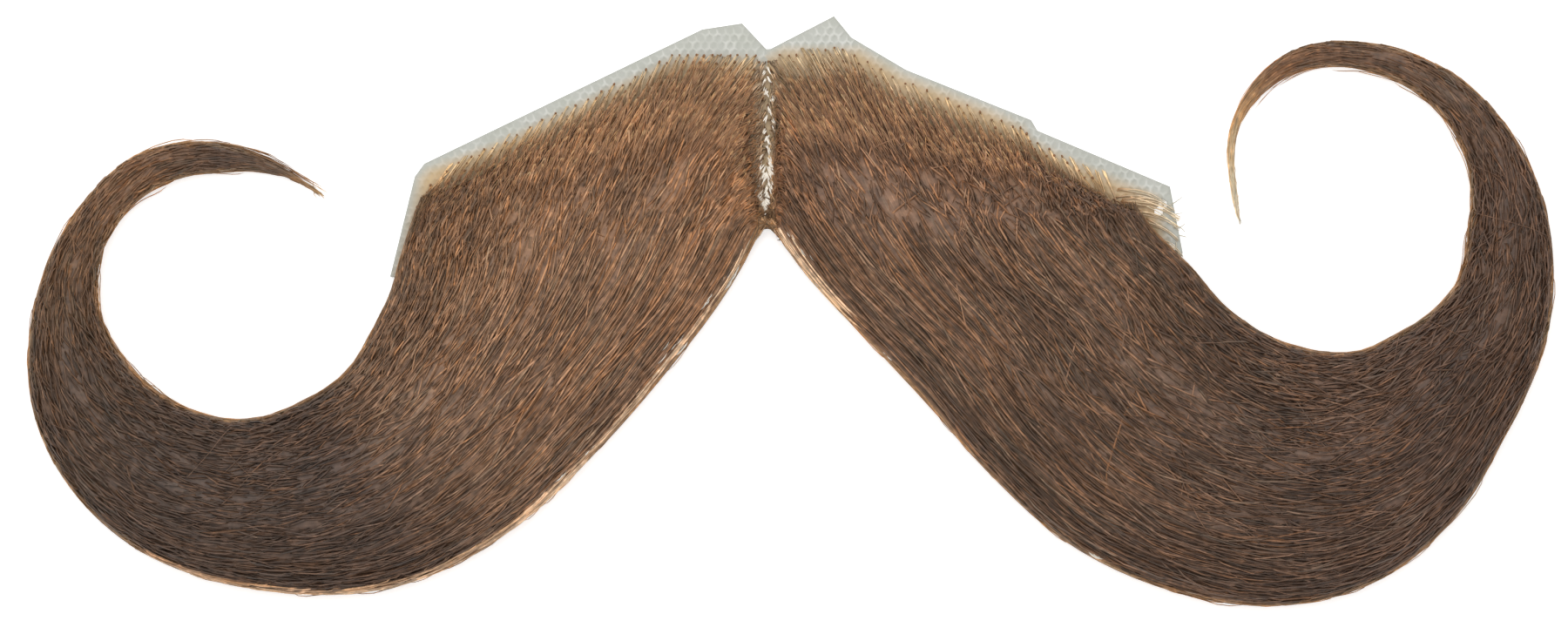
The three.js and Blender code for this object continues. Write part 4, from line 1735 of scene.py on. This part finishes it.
@dataclass(frozen=True)
class Dressing:
    """Everything that is laid on the lace: knots, tufts, near-white lacquered hairs that paint highlights,
    and the layers of hair.
    """

    lace: Lace
    knot: Colour = paint(150, 108, 72)
    tuft_pale: Colour = paint(220, 188, 142)
    tuft_tan: Colour = paint(174, 132, 94)
    tuft_outer: Colour = paint(220, 202, 166)
    # Pale tan of the edge band: partly the thin lacquered hair's tone, partly painted sheen and light shining
    # through it.
    edge_tan_and_sheen: Colour = paint(226, 198, 164)
    # Near white: painted highlights on the lacquered hairs at the parting and the edges.
    lacquer: Colour = paint(250, 243, 230)
    lower: Strands = Strands(
        3400, 4, (3, 7), radius=(0.11, 0.17), depth=(-0.5, -0.18), weave=0.08, stray=10.0,
        shade=(0.49, 0.17),
    )
    over: Strands = Strands(
        9600, 4, (1.5, 4.4), radius=(0.075, 0.13), depth=(-0.24, 0.05), weave=0.1, stray=15.0,
        shade=(0.53, 0.21),
    )
    # This and the inner fringe: pale strands along both edges, their high shade partly the thin hair's tone
    # and partly painted light shining through it.
    fringe: Strands = Strands(
        240, 9, (7, 16), radius=(0.05, 0.08), depth=(-0.05, 0.12), weave=0.1, stray=2.0,
        reach=(0.95, 1.03), shade=(0.85, 0.08), cast=(0.0, 0.4),
    )
    inner_fringe: Strands = Strands(
        200, 9, (7, 16), radius=(0.05, 0.08), depth=(-0.05, 0.12), weave=0.1, stray=2.0,
        reach=(-0.03, 0.05), shade=(0.85, 0.08), cast=(0.0, 0.4),
    )
    stray: Strands = Strands(
        60, 10, (2.5, 6), radius=(0.035, 0.05), depth=(0.0, 0.2), weave=0.12, stray=24.0,
        reach=(0.08, 0.92), span=(0.2, 0.85), shade=(0.78, 0.1), cast=(0.1, 0.6), wander=0.4,
    )
    wisp: Strands = Strands(
        16, 12, (10, 20), radius=(0.06, 0.1), depth=(0.0, 0.1), weave=0.05, stray=1.0,
        reach=(0.9, 1.0), span=(0.86, 0.97), shade=(0.8, 0.1), cast=(0.0, 0.4),
    )
    flyaway: Strands = Strands(
        44, 12, (8, 18), radius=(0.045, 0.065), depth=(0.0, 0.1), weave=0.05, stray=2.0,
        reach=(0.97, 1.03), span=(0.15, 0.85), shade=(0.8, 0.1), cast=(0.0, 0.4), escape=(0.1, 0.7),
    )
    inner_wisp: Strands = Strands(
        16, 12, (8, 16), radius=(0.045, 0.07), depth=(0.0, 0.1), weave=0.05, stray=1.0,
        reach=(-0.02, 0.04), span=(0.45, 0.85), shade=(0.8, 0.1), cast=(0.0, 0.4), escape=(0.2, 0.8),
    )
    edge_band: Strands = Strands(
        300, 10, (4, 10), radius=(0.06, 0.12), depth=(0.0, 0.16), weave=0.1, stray=2.0,
        reach=(0.885, 1.0), shade=(0.66, 0.16), cast=(0.25, 0.75),
    )
    beside_parting: Strands = Strands(
        420, 8, (3.0, 7.5), radius=(0.06, 0.11), depth=(-0.1, 0.1), weave=0.1, stray=7.0,
        reach=(0.74, 0.99), span=(0.0, 0.13), shade=(0.6, 0.2), dip=0.2,
    )
    # Where the painted highlights lie on each wing's edge: a bundle's middle x and y, its length and its half
    # width.
    left_marks: Rows = (
        (-3.0, -14.3, 2.2, 0.2), (-4.1, -16.2, 2.2, 0.2), (-6.4, -18.8, 1.4, 0.1), (-8.9, -21.4, 2.2, 0.25),
        (-10.0, -23.0, 2.8, 0.28), (-13.9, -27.8, 1.4, 0.08), (-19.5, -34.2, 1.8, 0.1),
        (-22.3, -36.8, 1.8, 0.1),
    )
    right_marks: Rows = (
        (1.8, -10.7, 1.8, 0.15), (2.8, -12.0, 2.4, 0.2), (3.9, -13.5, 2.8, 0.25), (4.8, -14.6, 2.2, 0.2),
        (7.6, -17.9, 1.8, 0.15), (11.8, -23.0, 1.2, 0.1), (36.0, -45.6, 2.0, 0.1),
    )

    def tuft_tones(self, wing: Wing) -> tuple[tuple[float, Colour], ...]:
        """A tuft's tone from its knot to its end."""
        return (0.0, self.knot), (0.08, self.tuft_pale), (0.3, self.tuft_tan), (0.6, wing.tones[1][1])

    def wing(self, wing: Wing) -> None:
        """Dress one wing with its packed core, its tufts and its layers of strands.

        Args:
            wing: The wing.
        """
        word = wing.side.word
        finish = HairFinish(f"hair_{word}", wing.tones).build()
        packed = HairFinish(f"packed_hair_{word}", wing.tones, streak=0.9).build()
        core = wing.core().make(f"hair_{word}_core", packed, Slot.HAIR)
        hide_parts(f"hair_{word}")
        layers = {"lower": self.lower, "over": self.over, "fringe": self.fringe}
        wisps = replace(self.wisp, escape=wing.wisp_escape)
        layers |= {"inner_fringe": self.inner_fringe, "stray": self.stray, "wisps": wisps}
        layers |= {"flyaways": self.flyaway, "inner_wisps": self.inner_wisp}
        for seed, (name, layer) in enumerate(layers.items(), 1):
            wing.strands(layer, seed).make(f"hair_{word}_{name}", finish, Slot.HAIR)
        pale = (0.0, self.edge_tan_and_sheen), (0.5, wing.tones[1][1])
        edge = HairFinish(f"edge_hair_{word}", pale, rim=self.edge_tan_and_sheen, rim_share=0.5).build()
        band = replace(self.edge_band, count=wing.band_count, span=wing.band_span)
        wing.strands(band, 40).make(f"hair_{word}_edge_band", edge, Slot.HAIR)
        wing.strands(self.beside_parting, 50).make(f"hair_{word}_beside_parting", finish, Slot.HAIR)
        tones, outer = self.tuft_tones(wing), self.tuft_outer
        rooted = HairFinish(f"rooted_hair_{word}", tones, rim=outer, rim_share=0.9, grain=1.0).build()
        wing.tufts(9).make(f"hair_{word}_tufts", rooted, Slot.HAIR)
        knots = PlainFinish(f"knots_{word}", self.knot, 0.6).build()
        wing.knot_dots().make(f"hair_{word}_knots", knots, Slot.HAIR)

    def parting(self, wings: Sequence[Wing]) -> None:
        """Dress the parting, the edges below it and the torn corner.

        Args:
            wings: The left wing and the right.
        """
        dark = ((0.0, paint(132, 106, 82)), (0.25, paint(206, 182, 150)), (1.0, paint(158, 122, 90)))
        herringbone = HairFinish("parting_hair", dark).build()
        self.lace.chevrons().make("parting_tufts", herringbone, Slot.HAIR)
        # The near-white colour and the glow paint highlights on the lacquered hairs.
        shiny = PlainFinish("lacquer", self.lacquer, 0.22, mottle=0.15, coat=0.6, glow=0.22).build()
        self.lace.parting_glints().make("parting_lacquer_glints", shiny, Slot.LACE)
        sheen = PlainFinish("edge_lacquer_glints", self.lacquer, 0.3, mottle=0.3, coat=0.4, glow=0.06).build()
        for wing, marks in zip(wings, (self.left_marks, self.right_marks)):
            wing.glints(marks).make(f"edge_lacquer_glints_{wing.side.word}", sheen, Slot.LACE)
        pale = ((0.0, paint(196, 154, 112)), (0.3, paint(226, 204, 168)), (1.0, paint(234, 222, 196)))
        torn = HairFinish("torn_corner_hair", pale, roughness=0.35, grain=0.8).build()
        self.lace.torn_hair().make("torn_corner_hair", torn, Slot.HAIR)
        thread = PlainFinish("loose_thread", paint(222, 216, 198), 0.5).build()
        self.lace.frayed().make("lace_loose_threads", thread, Slot.LACE)


@dataclass(frozen=True)
class Studio:
    """A pale floor, soft light from above, and the camera straight over the moustache."""

    frame_width: float = 169.6
    frame_centre: Span = (1.79, -19.22)
    camera_height: float = 1200.0
    sensor: float = 36.0
    floor_size: float = 3.0
    sky: float = 0.8
    key_power: float = 3.0
    key_size: float = 0.8
    key_place: tuple[float, float, float] = (-0.1, 0.2, 0.8)
    key_tilt: Span = (-14.0, -7.0)

    def build(self) -> None:
        """Make the floor, the lights and the camera."""
        self._floor()
        self._lights()
        self._camera()

    def _floor(self) -> None:
        """A flat floor at the height on which the moustache lies, which glows a little."""
        mesh = bpy.data.meshes.new("floor")
        half = self.floor_size / 2
        corners = [(-half, -half, 0), (half, -half, 0), (half, half, 0), (-half, half, 0)]
        mesh.from_pydata(corners, [], [(0, 1, 2, 3)])
        finish = PlainFinish("pale_floor", paint(246, 246, 246), 0.9, mottle=0.01, scale=3.0, glow=0.42)
        mesh.materials.append(finish.build())
        floor = bpy.data.objects.new("floor", mesh)
        bpy.context.scene.collection.objects.link(floor)

    def _lights(self) -> None:
        """One wide soft lamp up to the left, and an even white sky."""
        world = bpy.data.worlds.new("studio")
        world.use_nodes = True
        background = world.node_tree.nodes["Background"].inputs
        background["Color"].default_value = (1.0, 1.0, 1.0, 1.0)
        background["Strength"].default_value = self.sky
        bpy.context.scene.world = world
        lamp = bpy.data.lights.new("key", "AREA")
        lamp.energy = self.key_power
        lamp.size = self.key_size
        key = bpy.data.objects.new("key", lamp)
        key.location = self.key_place
        key.rotation_euler = (*np.radians(self.key_tilt), 0.0)
        bpy.context.scene.collection.objects.link(key)

    def _camera(self) -> None:
        """A long lens straight above, framed as the photograph is."""
        lens = bpy.data.cameras.new("camera")
        lens.sensor_width = self.sensor
        lens.lens = self.sensor * self.camera_height / self.frame_width
        lens.clip_end = 10.0
        camera = bpy.data.objects.new("camera", lens)
        camera.location = [place * MM for place in (*self.frame_centre, self.camera_height)]
        bpy.context.scene.collection.objects.link(camera)
        bpy.context.scene.camera = camera


def main() -> None:
    """Build the moustache and its studio."""
    logging.basicConfig(level=logging.INFO, format="%(name)s %(message)s")
    bpy.context.scene.view_settings.view_transform = "Standard"
    lace = Lace()
    net = lace.net().make("lace_net", LaceFinish().build(), Slot.LACE)
    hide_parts("lace_foundation")
    width, length = np.ptp(lace.outline(), axis=0) * MM
    lace.area() * MM * MM
    dressing = Dressing(lace)
    wings = build_wings(lace)
    for wing in wings:
        dressing.wing(wing)
    dressing.parting(wings)
    Studio().build()


if __name__ == "__main__":
    main()
